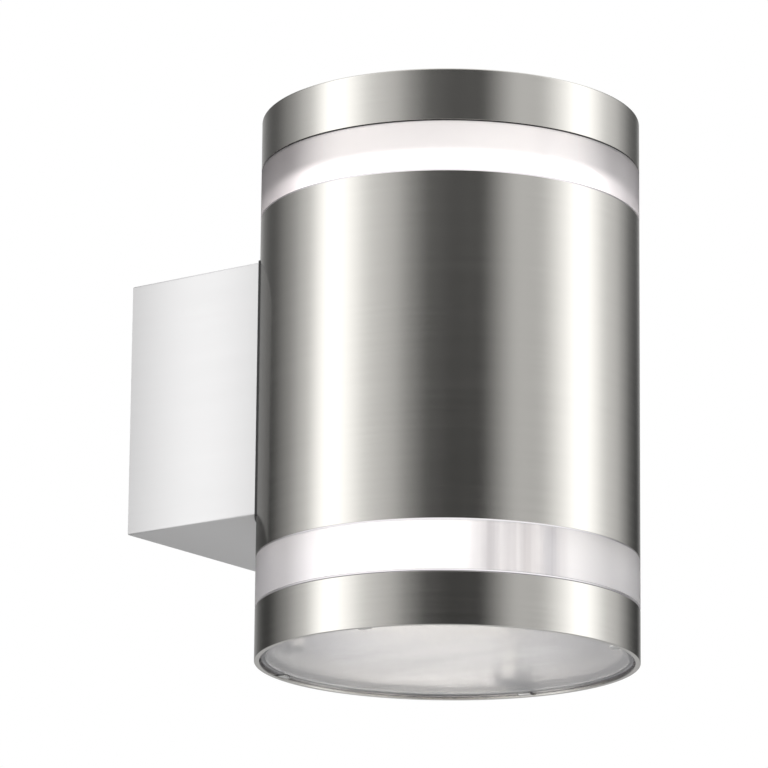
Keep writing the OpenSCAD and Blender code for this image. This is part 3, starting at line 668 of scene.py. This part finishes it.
def lens_glass():
    """Glass with a faint painted glow in streaks, warm and strongest in the middle, fading to a bluish
    painted reflection toward the rim.
    """
    finish = moulded("lens_glass", (0.96, 0.965, 0.97), 0.16, 200.0, 0.001 * mm, 0.01)
    finish.set("Transmission Weight", 1.0)
    finish.set("IOR", 1.5)
    tree = finish.tree
    core = 12 * mm
    rim = 46 * mm
    near_middle = stretch_node(tree, rim, core, off_axis(tree), 0.3, 1.0, True)
    turned = add_node(tree, "ShaderNodeMapping", {
        "Vector": scaled_place(tree, 1, 1, 0), "Rotation": (0, 0, STREAK_TURN), "Scale": (90, 18, 1),
    })
    streaks = noise_node(tree, turned.outputs["Vector"], 1.0, 4.0, 0.6)
    painted_glow_streaks = stretch_node(tree, 0.32, 0.68, streaks, 0.35, 1.0)
    # Painted glow and painted reflection, as emission
    finish.link(finish.mix(near_middle, (0.88, 0.86, 1.0), (1.0, 0.95, 0.93)), "Emission Color")
    finish.link(product(tree, near_middle, painted_glow_streaks, LENS_PAINTED_GLOW), "Emission Strength")
    return finish.material


def rubber():
    """Black rubber. The thin seals beside the lit bands have a painted glow, all but the one under the
    cap.
    """
    finish = moulded("rubber", (0.018, 0.018, 0.019), 0.6, 1500.0, 0.01 * mm)
    tree = finish.tree
    height = height_of(tree)
    tube_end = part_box("body_tube")[1].z - 5 * mm
    cap_edge = CAP_MOUTH - 5 * mm
    painted_glow_beside_band = stretch_node(tree, tube_end, tube_end + 1 * mm, math_node(tree, "ABSOLUTE", height))
    not_under_cap = stretch_node(tree, cap_edge, cap_edge + 1 * mm, height, 1.0, 0.0)
    slant = facing_share(tree, 0.2, 0.6, 0.9, 0.2)
    # Painted glow on the seals beside the bands, weaker where they turn edge on
    finish.set("Emission Color", (1.0, 0.97, 1.0, 1))
    finish.link(product(tree, painted_glow_beside_band, not_under_cap, slant), "Emission Strength")
    return finish.material


def opal():
    """Opal plastic of the lit lamp, which lights the inside more strongly than it looks."""
    finish = moulded("opal", (0.93, 0.92, 0.88), 0.35, 700.0, 0.003 * mm, 0.02)
    tree = finish.tree
    rays = tree.nodes.new("ShaderNodeLightPath")
    seen = math_node(tree, "MAXIMUM", rays.outputs["Is Camera Ray"], rays.outputs["Is Transmission Ray"])
    hidden = stretch_node(tree, 0.0, 1.0, seen, GLOBE_LIGHT, 0.0)
    shown = product(tree, seen, facing_share(tree, 0.05, 0.85, GLOBE_SEEN, GLOBE_RIM))
    finish.set("Emission Color", (1.0, 0.955, 0.9, 1))
    finish.link(math_node(tree, "ADD", hidden, shown), "Emission Strength")
    return finish.material


# Colour and roughness of the small metal parts
PLATED = {
    "steel_screw": ((0.62, 0.62, 0.61), 0.28),
    "zinc_screw": ((0.66, 0.66, 0.63), 0.33),
    "cast_aluminium": ((0.92, 0.88, 0.84), 0.48),
    "brass": ((0.78, 0.6, 0.3), 0.26),
    "lamp_metal": ((0.75, 0.73, 0.69), 0.3),
}

# Colour, roughness, grain per metre and relief of the moulded and fired parts
MOULDED = {
    "foam": ((0.035, 0.035, 0.037), 0.95, 2500.0, 0.12 * mm),
    "silicone": ((0.62, 0.62, 0.63), 0.45, 900.0, 0.005 * mm),
    "block_plastic": ((0.78, 0.75, 0.66), 0.4, 1200.0, 0.006 * mm),
    "holder_ceramic": ((0.84, 0.82, 0.78), 0.5, 1600.0, 0.02 * mm),
    "lamp_black": ((0.02, 0.02, 0.022), 0.12, 600.0, 0.002 * mm),
    "lamp_plastic": ((0.86, 0.86, 0.84), 0.35, 900.0, 0.003 * mm),
    "lamp_board": ((0.84, 0.85, 0.8), 0.4, 1500.0, 0.004 * mm),
    "wire_brown": ((0.13, 0.055, 0.025), 0.4, 900.0, 0.003 * mm),
    "wire_blue": ((0.03, 0.1, 0.34), 0.4, 900.0, 0.003 * mm),
    "wire_green": ((0.12, 0.3, 0.04), 0.4, 900.0, 0.003 * mm),
}


def make_finishes():
    """Every finish, by the record's material slot."""
    made = {
        "tube_steel": tube_steel(), "box_steel": box_steel(), "clear_band": clear_band(),
        "lens_glass": lens_glass(), "opal": opal(), "galvanised": galvanised(), "rubber": rubber(),
    }
    for slot, values in PLATED.items():
        made[slot] = plated(slot, *values).material
    for slot, values in MOULDED.items():
        made[slot] = moulded(slot, *values).material
    return made


# Finish, slot and body of every CAD node
finishes = make_finishes()
SLOT_OF = {}
BODY_OF = {}
for part in frame["record"]["subparts"]:
    node_name = part["node"]
    solid = cad[node_name]
    SLOT_OF[node_name] = part["material_slot"]
    BODY_OF[node_name] = solid.parent.name.removeprefix("body:")
    solid.data.materials.clear()
    solid.data.materials.append(finishes[SLOT_OF[node_name]])


def build(node, name, mesh, place=ON_AXIS, sharp_from=SHARP_FROM):
    """Piece that stands for a CAD node, with its finish and body, smooth apart from its sharp edges."""
    mesh.polygons.foreach_set("use_smooth", [True] * len(mesh.polygons))
    mesh.set_sharp_from_angle(angle=sharp_from)
    mesh.materials.clear()
    mesh.materials.append(finishes[SLOT_OF[node]])
    piece = linked(name, mesh)
    piece.matrix_world = place
    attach(piece, BODY_OF[node])
    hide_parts(node)


# Turned steel of the tube

def body_tube():
    """Tube with the holes for the screws and the wires in its back."""
    low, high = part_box("body_tube")
    mesh = turned_mesh([
        (BORE_R, low.z, 0.15 * mm), (TUBE_R, low.z, EDGE_ROUND),
        (TUBE_R, high.z, EDGE_ROUND), (BORE_R, high.z, 0.15 * mm),
    ])
    mesh = combined(mesh, bar_mesh(WIRE_HOLE_R, 0, REACH), facing((0, 0, 0), BACK))
    for centre, _ in solids("saddle_screws"):
        place = facing((0, 0, centre.z), BACK)
        mesh = combined(mesh, bar_mesh(SCREW_HOLE_R, 0, REACH), place)
    build("body_tube", "tube_shell", mesh)


def top_cap():
    """Cap shell, and the bosses on its underside for the rods and the bracket."""
    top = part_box("top_cap")[1].z
    under = top - WALL
    build("top_cap", "cap_shell", turned_mesh([
        (0, under, 0), (BORE_R, under, 0.6 * mm), (BORE_R, CAP_MOUTH, 0.15 * mm),
        (TUBE_R, CAP_MOUTH, EDGE_ROUND), (TUBE_R, top, CROWN_ROUND), (0, top, 0),
    ]))
    bosses("rod_boss", "tie_rods", CAP_MOUTH + SPIGOT + 0.3 * mm, under, ROD_TAP_R)
    bosses("bracket_boss", "bracket_screws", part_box("holder_bracket")[1].z, under, SCREW_TAP_R)


def bosses(name, taken, low, under, bore):
    """Tapped bosses under the cap, for the rods or screws that they take."""
    outer = 4 * mm
    root = under + WALL / 2
    for i, (centre, _) in enumerate(solids(taken)):
        mesh = turned_mesh([
            (bore, low, 0.3 * mm), (outer, low, 0.4 * mm), (outer, root, 0), (bore, root, 0),
        ], 48)
        build("top_cap", f"{name}_{i + 1}", mesh, upright(centre))


def bottom_ring():
    """Ring with a flange for the lens gasket and a thread above it, cut into its wall."""
    low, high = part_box("bottom_ring")
    flange_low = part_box("lens_gasket")[1].z
    flange_high = flange_low + 1 * mm
    flange_r = BORE_R - 1.7 * mm
    thread = thread_run(BORE_R, flange_high + 0.8 * mm, high.z - 1.2 * mm, RING_THREAD, RING_PITCH)
    build("bottom_ring", "ring_shell", turned_mesh([
        (BORE_R, low.z, 0.15 * mm), (TUBE_R, low.z, EDGE_ROUND),
        (TUBE_R, high.z, EDGE_ROUND), (BORE_R, high.z, 0.15 * mm), *reversed(thread),
        (BORE_R, flange_high, 0.1 * mm), (flange_r, flange_high, 0.2 * mm),
        (flange_r, flange_low, 0.2 * mm), (BORE_R, flange_low, 0.1 * mm),
    ], TURNS, RING_PITCH))


# Clear pieces

def light_band(node, name, seat_low, spigot_low_r):
    """Clear ring with a spigot at each end. seat_low is the height of its face on the lower seal."""
    low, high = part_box(node)
    inner = TUBE_R - 5 * mm
    seat_high = high.z - SPIGOT - SEAL
    build(node, name, turned_mesh([
        (inner, low.z, 0.3 * mm), (spigot_low_r, low.z, 0.3 * mm), (spigot_low_r, seat_low, 0.1 * mm),
        (TUBE_R, seat_low, 0.15 * mm), (TUBE_R, seat_high, 0.15 * mm), (SPIGOT_R, seat_high, 0.1 * mm),
        (SPIGOT_R, high.z, 0.3 * mm), (inner, high.z, 0.3 * mm),
    ]))


def light_bands():
    """Upper and lower ring. The lower one has a looser spigot below, and seats on the ring seal."""
    upper_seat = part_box("upper_band")[0].z + SPIGOT + SEAL
    light_band("upper_band", "upper_light_band", upper_seat, SPIGOT_R)
    light_band("lower_band", "lower_light_band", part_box("ring_seal")[1].z, SPIGOT_R - 0.2 * mm)


def lens():
    """Flat round glass."""
    low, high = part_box("lens")
    radius = half_width("lens")
    build("lens", "lens_disc", turned_mesh([
        (0, low.z, 0), (radius, low.z, 0.4 * mm), (radius, high.z, 0.4 * mm), (0, high.z, 0),
    ]))


# Collar and rods

def thread_collar():
    """Collar with an outer thread, and bosses that take the rods and their heads."""
    low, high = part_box("thread_collar")
    crest = half_width("thread_collar")
    core = crest - RING_THREAD
    end_r = crest - 0.6 * mm
    inner = crest - 3.5 * mm
    outer = 5 * mm
    head_bore = 3.7 * mm
    rod_bore = 2.2 * mm
    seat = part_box("tie_rods")[0].z + ROD_HEAD_H
    thread = thread_run(core, low.z + 0.3 * mm, high.z - 0.3 * mm, RING_THREAD, RING_PITCH)
    ring = turned_mesh([
        (inner, low.z, 0), (end_r, low.z, 0), *thread, (end_r, high.z, 0), (inner, high.z, 0),
    ], TURNS, RING_PITCH)
    room = bar_mesh(core, low.z - OVER, high.z + OVER, TURNS)
    for i, (centre, _) in enumerate(solids("tie_rods")):
        place = upright(centre - AXIS)
        ring = combined(ring, bar_mesh(head_bore, low.z - OVER, seat), place)
        shape = turned_mesh([
            (rod_bore, seat, 0.2 * mm), (head_bore, seat, 0), (head_bore, low.z, 0.2 * mm),
            (outer, low.z, 0.3 * mm), (outer, high.z, 0.3 * mm), (rod_bore, high.z, 0.2 * mm),
        ], 64)
        shape = combined(shape, room, place.inverted(), "INTERSECT")
        build("thread_collar", f"collar_boss_{i + 1}", shape, ON_AXIS @ place)
    build("thread_collar", "collar_ring", ring)


def tie_rods():
    """Long rods with a hexagon socket in the head and a thread at the top."""
    low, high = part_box("tie_rods")
    shank = 2 * mm
    core = 1.75 * mm
    head_r = 3.5 * mm
    head_top = low.z + ROD_HEAD_H
    thread_low = high.z - 9 * mm
    thread = thread_run(core, thread_low, high.z - 0.6 * mm, shank - core, ROD_PITCH)
    socket = bar_mesh(1.75 * mm, low.z - OVER, low.z + ROD_HEAD_H / 2, 6)
    for i, (centre, _) in enumerate(solids("tie_rods")):
        mesh = turned_mesh([
            (0, low.z, 0), (head_r, low.z, 0.5 * mm), (head_r, head_top, 0.15 * mm),
            (shank, head_top, 0.1 * mm), (shank, thread_low - 0.5 * mm, 0), *thread,
            (1.4 * mm, high.z, 0), (0, high.z, 0),
        ], 40, ROD_PITCH)
        build("tie_rods", f"tie_rod_{i + 1}", combined(mesh, socket), upright(centre))


# Screws

def screw_mesh(shank_r, head_r, head_h, length, slot_w):
    """Domed screw with a slot, its head above the level of its seat."""
    thread = thread_run(shank_r - 0.22 * mm, -length + 0.5 * mm, -0.4 * mm, 0.2 * mm, ROD_PITCH)
    mesh = turned_mesh([
        (0, -length, 0), (shank_r * 0.75, -length, 0), *thread, (shank_r - 0.1 * mm, 0, 0),
        (head_r, 0, 0.12 * mm), (head_r, head_h * 0.55, head_h * 0.2),
        (head_r * 0.62, head_h * 0.97, head_h * 0.4), (0, head_h, 0),
    ], 48, ROD_PITCH)
    slot = block_mesh((-head_r * 2, -slot_w / 2, head_h * 0.45), (head_r * 2, slot_w / 2, head_h * 2))
    return combined(mesh, slot)


def screws(node, name, way, shank_r, head_r, head_h, slot_w):
    """Slotted screws in place of a CAD node's, all with their heads on one side."""
    way = Vector(way)
    for i, (centre, size) in enumerate(solids(node)):
        length = abs(size.dot(way))
        seat = centre + way * (length / 2 - head_h)
        mesh = screw_mesh(shank_r, head_r, head_h, length - head_h, slot_w)
        build(node, f"{name}_{i + 1}", mesh, facing(seat, way))


def grub_screws():
    """Headless clamp screws of the terminal block."""
    for i, (centre, size) in enumerate(solids("terminal_screws")):
        radius = size.x / 2
        mesh = turned_mesh([
            (0, -size.y, 0), (radius, -size.y, 0.1 * mm), (radius, 0, 0.3 * mm), (0, 0, 0),
        ], 40)
        slot = block_mesh((-radius * 2, -0.35 * mm, -0.7 * mm), (radius * 2, 0.35 * mm, OVER))
        place = facing((centre.x, centre.y - size.y / 2, centre.z), FRONT)
        build("terminal_screws", f"clamp_screw_{i + 1}", combined(mesh, slot), place)


def all_screws():
    """Every screw, in the place that its CAD node gives."""
    screws("box_screws", "box_screw", UP, *LARGE_SCREW)
    screws("saddle_screws", "saddle_screw", FRONT, *LARGE_SCREW)
    screws("earth_screw", "earth_screw_head", FRONT, *LARGE_SCREW)
    screws("bracket_screws", "bracket_screw", DOWN, *SMALL_SCREW)
    screws("holder_screws", "holder_screw", UP, *SMALL_SCREW)
    screws("block_screw", "block_screw_head", FRONT, *NARROW_SCREW)
    grub_screws()


# Wall box

def wall_box():
    """Folded box with a curved front that the tube seats on, and a lip that hooks on the wall plate."""
    low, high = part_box("wall_box")
    half_w = (high.x - low.x) / 2
    half_h = (high.z - low.z) / 2
    sheet = 1.2 * mm
    lip_h = 4.5 * mm
    lip_half = half_w - sheet - 15.8 * mm
    saddle_r = TUBE_R + 0.5 * mm
    room = folded_mesh(half_w - sheet, half_h - sheet, 0.3 * mm, -REACH, OVER)
    room = combined(room, bar_mesh(saddle_r + sheet, -half_h * 2, half_h * 2, SADDLE_TURNS), ON_AXIS)
    mesh = combined(folded_mesh(half_w, half_h, 0.55 * mm, -REACH, 0), room)
    lip = block_mesh((-lip_half, -sheet, -half_h + sheet / 2), (lip_half, 0, -half_h + sheet + lip_h))
    mesh = combined(mesh, lip, HERE, "UNION")
    mesh = combined(mesh, bar_mesh(saddle_r, -half_h * 2, half_h * 2, SADDLE_TURNS), ON_AXIS)
    mesh = combined(mesh, bar_mesh(WIRE_HOLE_R, 0, REACH), facing((0, -REACH, 0), BACK))
    for centre, _ in solids("saddle_screws"):
        place = facing((0, -REACH, centre.z), BACK)
        mesh = combined(mesh, bar_mesh(SCREW_HOLE_R, 0, REACH - 5 * mm), place)
    for centre, _ in solids("box_screws"):
        mesh = combined(mesh, bar_mesh(SCREW_HOLE_R, 0, half_h * 2), upright(centre))
    build("wall_box", "box_sheet", eased(mesh, 0.12 * mm), HERE)


# Lampholder and lamp

def lampholder():
    """Ceramic body with the socket, and its bores for screws and wires."""
    low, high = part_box("lampholder")
    lip_r = half_width("lampholder")
    body_r = lip_r - 1.5 * mm
    waist_r = body_r - 2 * mm
    waist_z = high.z - 15 * mm
    socket_r = 13.95 * mm
    seat = low.z + 24 * mm
    well_r = 8 * mm
    well_z = seat + 4 * mm
    mesh = turned_mesh([
        (0, well_z, 0), (well_r, well_z, 0.3 * mm), (well_r, seat, 0.3 * mm),
        (socket_r, seat, 0.2 * mm), (socket_r, low.z, 0.6 * mm), (lip_r, low.z, 0.6 * mm),
        (lip_r, low.z + 3 * mm, 0.4 * mm), (body_r, low.z + 4.5 * mm, 0.4 * mm),
        (body_r, waist_z - 2 * mm, 0.6 * mm), (waist_r, waist_z, 0.6 * mm), (waist_r, high.z, 0.5 * mm),
        (0, high.z, 0),
    ], 160)
    for centre, _ in solids("holder_screws"):
        place = upright(centre - AXIS)
        mesh = combined(mesh, bar_mesh(SCREW_TAP_R, high.z - 6.3 * mm, high.z + OVER), place)
    wire_hole = bar_mesh(1.4 * mm, 0, 12 * mm)
    for side in (-1, 1):
        place = facing((side * 7 * mm, body_r - 11 * mm, high.z - 9 * mm), BACK)
        mesh = combined(mesh, wire_hole, place)
    build("lampholder", "holder_body", mesh)


def holder_shell():
    """Brass shell with the lampholder's screw thread."""
    low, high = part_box("holder_shell")
    outer = half_width("holder_shell")
    mouth = 10 * mm
    sheet = 0.6 * mm
    inner = outer - sheet
    thread = thread_run(inner, low.z + 0.8 * mm, high.z - 1.2 * mm, 0.42 * mm, LAMP_PITCH)
    build("holder_shell", "threaded_shell", turned_mesh([
        (inner, low.z, 0), (outer, low.z, 0), (outer, high.z, 0), (mouth, high.z, 0),
        (mouth, high.z - sheet, 0), (inner, high.z - sheet, 0), *reversed(thread),
    ], 160, LAMP_PITCH))


def lamp_cap():
    """Lamp's screw cap, thin sheet with a rolled thread."""
    low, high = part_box("lamp_cap")
    outer = half_width("lamp_cap")
    depth = 0.75 * mm
    core = outer - depth
    thread = thread_run(core, low.z + 2.2 * mm, high.z - 1.6 * mm, depth, LAMP_PITCH)
    build("lamp_cap", "screw_cap", turned_mesh([
        (core - 0.35 * mm, low.z, 0), (outer - 0.1 * mm, low.z, 0), (outer - 0.1 * mm, low.z + 1 * mm, 0),
        (core, low.z + 1.8 * mm, 0), *thread, (core - 0.1 * mm, high.z - 0.5 * mm, 0),
        (core - 0.8 * mm, high.z, 0), (0, high.z, 0), (0, high.z - 0.4 * mm, 0),
        (core - 0.9 * mm, high.z - 0.4 * mm, 0),
    ], 160, LAMP_PITCH))


def lamp_ends():
    """Black glass insulator, and the tip contact on top of it."""
    low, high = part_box("lamp_insulator")
    wide = half_width("lamp_insulator")
    build("lamp_insulator", "cap_insulator", turned_mesh([
        (0, low.z, 0), (wide, low.z, 0.2 * mm), (6 * mm, high.z, 0.5 * mm), (0, high.z, 0),
    ], 96))
    low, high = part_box("lamp_tip")
    wide = half_width("lamp_tip")
    build("lamp_tip", "tip_contact", turned_mesh([
        (0, low.z, 0), (wide, low.z, 0.1 * mm), (wide, high.z, 0.28 * mm), (0, high.z, 0),
    ], 64))


def lamp_housing():
    """Plastic body of the lamp, open below, which swells from the cap to the globe."""
    low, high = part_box("lamp_housing")
    wide = half_width("lamp_housing")
    neck = 14.2 * mm
    wall = 1.6 * mm
    fall = high.z - 3 * mm
    steps = 24
    outer = []
    for i in range(steps + 1):
        t = i / steps
        swell = t * t * (3 - 2 * t)
        outer.append((neck + (wide - neck) * swell, fall - (fall - low.z) * t, 0))
    inner = [(r - wall, z - 1.2 * mm, 0) for r, z, _ in outer[:-1]]
    inner.append((wide - wall, low.z, 0))
    build("lamp_housing", "lamp_body", turned_mesh([
        (0, high.z - wall, 0), (0, high.z, 0), (neck, high.z, 0.5 * mm), *outer, *reversed(inner),
        (neck - wall, high.z - wall, 0),
    ], 160))


def lamp_globe():
    """Opal globe, a round shell that is open where it meets the body."""
    low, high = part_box("lamp_globe")
    radius = half_width("lamp_globe")
    centre = low.z + radius
    steps = 56
    outline = []
    for r, order in ((radius, 1), (radius - 1.2 * mm, -1)):
        brim = math.asin((high.z - centre) / r)
        arc = []
        for i in range(steps + 1):
            angle = -math.pi / 2 + (brim + math.pi / 2) * i / steps
            arc.append((r * math.cos(angle), centre + r * math.sin(angle), 0))
        outline.extend(arc[::order])
    build("lamp_globe", "opal_globe", turned_mesh(outline, 160))


# Wires, and the pieces that keep their CAD shape with rounded edges

def round_wire(node, name):
    """Wire as a smooth round cord along the CAD wire."""
    piece = linked(node, plain_solid(node))
    step = piece.modifiers.new("round", "SUBSURF")
    step.levels = 2
    build(node, name, evaluated(piece), HERE, WIRE_SHARP_FROM)


def rounded_pieces():
    """Flat and small pieces with their CAD shape and rounded edges."""
    for node, name, width in (
        ("wall_plate", "plate_sheet", 0.2), ("terminal_block", "block_body", 0.35),
        ("backing_plate", "backing_sheet", 0.25), ("saddle_washer", "washer", 0.12),
        ("earth_tag", "earth_terminal", 0.12), ("saddle_nuts", "hexagon_nuts", 0.3),
        ("tube_grommet", "wire_grommet", 0.35), ("supply_grommet", "inlet_grommet", 0.4),
        ("holder_bracket", "bracket_sheet", 0.2), ("centre_contact", "contact_spring", 0.1),
        ("lens_clips", "lens_tabs", 0.1),
    ):
        build(node, name, eased(plain_solid(node), width * mm), HERE)


body_tube()
top_cap()
bottom_ring()
light_bands()
lens()
thread_collar()
tie_rods()
all_screws()
wall_box()
lampholder()
holder_shell()
lamp_cap()
lamp_ends()
lamp_housing()
lamp_globe()
rounded_pieces()
round_wire("live_wire", "brown_wire")
round_wire("neutral_wire", "blue_wire")
round_wire("earth_wire", "green_wire")


# Studio: white round about for the camera and for glass, and soft strips and flags that the steel mirrors

# Camera as fitted to the photograph, its angles in radians and its focal length in pixels
CAMERA_PLACE = Vector((-1.1625, -0.9367, -0.3685))
CAMERA_SIDE = math.atan2(CAMERA_PLACE.y - AXIS.y, CAMERA_PLACE.x - AXIS.x)
CAMERA_TURN = math.radians(36.815)
CAMERA_RISE = 0.25215
CAMERA_ROLL = 0.0097
SENSOR = 36.0
FRAME_PIXELS = 768
FOCAL_PIXELS = 5147.66

# Sizes and plain levels of the studio
STUDIO_R = 1.8
FLOOR_Z = -0.55
FLOOR_R = 30
FLOOR_LIT = (0.1, 0.9)
WALL_RISE = 0.035
WALL_TOP = 1.6
PLAIN_LEVEL = 0.75
WHITE = (1, 1, 1, 1)

# Levels of the studio wall, by degrees round from the camera, counted to its right
STUDIO_LEVELS = [
    (-180, 0.55), (-160, 0.3), (-140, 0.1), (-122, 0.2), (-104, 0.52), (-90, 1.0), (-78, 1.8),
    (-67, 1.75), (-52, 1.05), (-30, 0.56), (-16, 0.2), (-5, 0.108), (10, 0.092), (22, 0.16),
    (38, 0.63), (58, 0.74), (75, 1.5), (87, 1.85), (104, 1.05), (122, 0.6), (134, 0.27), (145, 0.12),
    (157, 0.13), (168, 0.4), (180, 0.55),
]
LEVEL_SCALE = 2.2


def studio_wall():
    """Open cylinder round the object. Only mirror-like reflections see it."""
    made = bmesh.new()
    centre = Matrix.Translation((0, 0, (FLOOR_Z + WALL_TOP) / 2))
    bmesh.ops.create_cone(
        made, segments=180, radius1=STUDIO_R, radius2=STUDIO_R, depth=WALL_TOP - FLOOR_Z, matrix=centre,
    )
    wall = linked("studio_wall", to_mesh(made, "studio_wall"))
    wall.location = AXIS
    wall.rotation_euler = (0, 0, CAMERA_SIDE)
    wall.visible_camera = False
    wall.visible_diffuse = False
    wall.visible_transmission = False
    wall.visible_shadow = False
    wall.visible_volume_scatter = False
    wall.data.materials.append(wall_light())


def levels_round(tree):
    """Studio level by the direction from the tube, for an object that is turned to the camera's side."""
    turn = add_node(tree, "ShaderNodeTexGradient", {"Vector": own_place(tree)}, gradient_type="RADIAL")
    ramp = add_node(tree, "ShaderNodeValToRGB", {"Fac": turn.outputs["Fac"]})
    ramp.color_ramp.interpolation = "CARDINAL"
    stops = ramp.color_ramp.elements
    for i, (degrees, level) in enumerate(STUDIO_LEVELS):
        at = 0.5 + degrees / 360
        stop = stops[i] if i < 2 else stops.new(at)
        stop.position = at
        share = level / LEVEL_SCALE
        stop.color = (share, share, share, 1)
    grey = add_node(tree, "ShaderNodeSeparateColor", {0: ramp.outputs["Color"]})
    return product(tree, grey.outputs[0], LEVEL_SCALE)


def mixed_shader(tree, factor, low, high):
    """Shader that goes from one node's to another's as a mask goes from 0 to 1."""
    return add_node(tree, "ShaderNodeMixShader", {0: factor, 1: low.outputs[0], 2: high.outputs[0]})


def wall_light():
    """Light of the studio wall, which changes with the direction from the tube."""
    material = bpy.data.materials.new("studio_wall")
    material.use_nodes = True
    tree = material.node_tree
    tree.nodes.clear()
    rise = stretch_node(tree, 0.36, 0.56, height_of(tree), -WALL_RISE, WALL_RISE)
    level = math_node(tree, "ADD", levels_round(tree), rise)
    glow = add_node(tree, "ShaderNodeEmission", {"Strength": level})
    add_node(tree, "ShaderNodeOutputMaterial", {"Surface": glow.outputs["Emission"]})
    return material


def background():
    """White for the camera, through glass and in mirrors, and a plain level for everything else."""
    world = bpy.data.worlds.new("studio")
    bpy.context.scene.world = world
    world.use_nodes = True
    tree = world.node_tree
    tree.nodes.clear()
    rays = tree.nodes.new("ShaderNodeLightPath")
    seen = math_node(tree, "MAXIMUM", rays.outputs["Is Camera Ray"], rays.outputs["Is Glossy Ray"])
    seen = math_node(tree, "MAXIMUM", seen, rays.outputs["Is Transmission Ray"])
    plain = add_node(tree, "ShaderNodeBackground", {"Color": WHITE, "Strength": PLAIN_LEVEL})
    white = add_node(tree, "ShaderNodeBackground", {"Color": WHITE, "Strength": 1.0})
    mixed = mixed_shader(tree, seen, plain, white)
    add_node(tree, "ShaderNodeOutputWorld", {"Surface": mixed.outputs[0]})


def pale_floor():
    """Plain pale floor well below the light. In the steel, its far part looks as the studio wall does.
    It isn't there for a camera that looks up from under it."""
    made = bmesh.new()
    bmesh.ops.create_circle(made, cap_ends=True, radius=FLOOR_R, segments=96)
    floor = linked("pale_floor", to_mesh(made, "pale_floor"))
    floor.location = AXIS + Vector((0, 0, FLOOR_Z))
    floor.rotation_euler = (0, 0, CAMERA_SIDE)
    if floor.data.polygons[0].normal.z < 0:
        floor.data.flip_normals()
    finish = moulded("pale_floor", (0.82, 0.82, 0.82), 0.8, 120.0, 0.05 * mm, 0.01)
    tree = finish.tree
    far = stretch_node(tree, *FLOOR_LIT, off_axis(tree), 0.0, 1.0, True)
    rays = tree.nodes.new("ShaderNodeLightPath")
    mirrored = product(tree, far, rays.outputs["Is Glossy Ray"])
    glow = add_node(tree, "ShaderNodeEmission", {"Strength": levels_round(tree)})
    lit = mixed_shader(tree, mirrored, finish.shader, glow)
    side = tree.nodes.new("ShaderNodeNewGeometry")
    through = tree.nodes.new("ShaderNodeBsdfTransparent")
    mixed = mixed_shader(tree, side.outputs["Backfacing"], lit, through)
    tree.links.new(mixed.outputs[0], tree.nodes["Material Output"].inputs["Surface"])
    floor.data.materials.append(finish.material)


def soft_lamp(name, place, size, watts):
    """Soft square lamp aimed at the object, which only plain surfaces see."""
    data = bpy.data.lights.new(name, "AREA")
    data.shape = "SQUARE"
    data.size = size
    data.energy = watts
    lamp = linked(name, data)
    lamp.matrix_world = facing(Vector(place), (Vector(place) - AXIS).normalized())
    lamp.visible_camera = False
    lamp.visible_glossy = False


def camera():
    """Camera at the photograph's place."""
    data = bpy.data.cameras.new("camera")
    data.sensor_width = SENSOR
    data.lens = FOCAL_PIXELS * SENSOR / FRAME_PIXELS
    data.clip_start = 0.05
    data.clip_end = 80
    turn = Matrix.Rotation(CAMERA_TURN - math.pi / 2, 4, "Z")
    rise = Matrix.Rotation(CAMERA_RISE + math.pi / 2, 4, "X")
    roll = Matrix.Rotation(CAMERA_ROLL, 4, "Z")
    seat = linked("camera", data)
    seat.matrix_world = Matrix.Translation(CAMERA_PLACE) @ turn @ rise @ roll
    bpy.context.scene.camera = seat


background()
pale_floor()
studio_wall()
soft_lamp("front_lamp", (-0.9, -1.6, 0.9), 1.2, 18)
soft_lamp("top_lamp", (0.2, -0.4, 1.9), 1.4, 14)
soft_lamp("side_lamp", (1.5, -1.0, 0.3), 1.2, 10)
camera()
bpy.context.scene.view_settings.view_transform = "Standard"
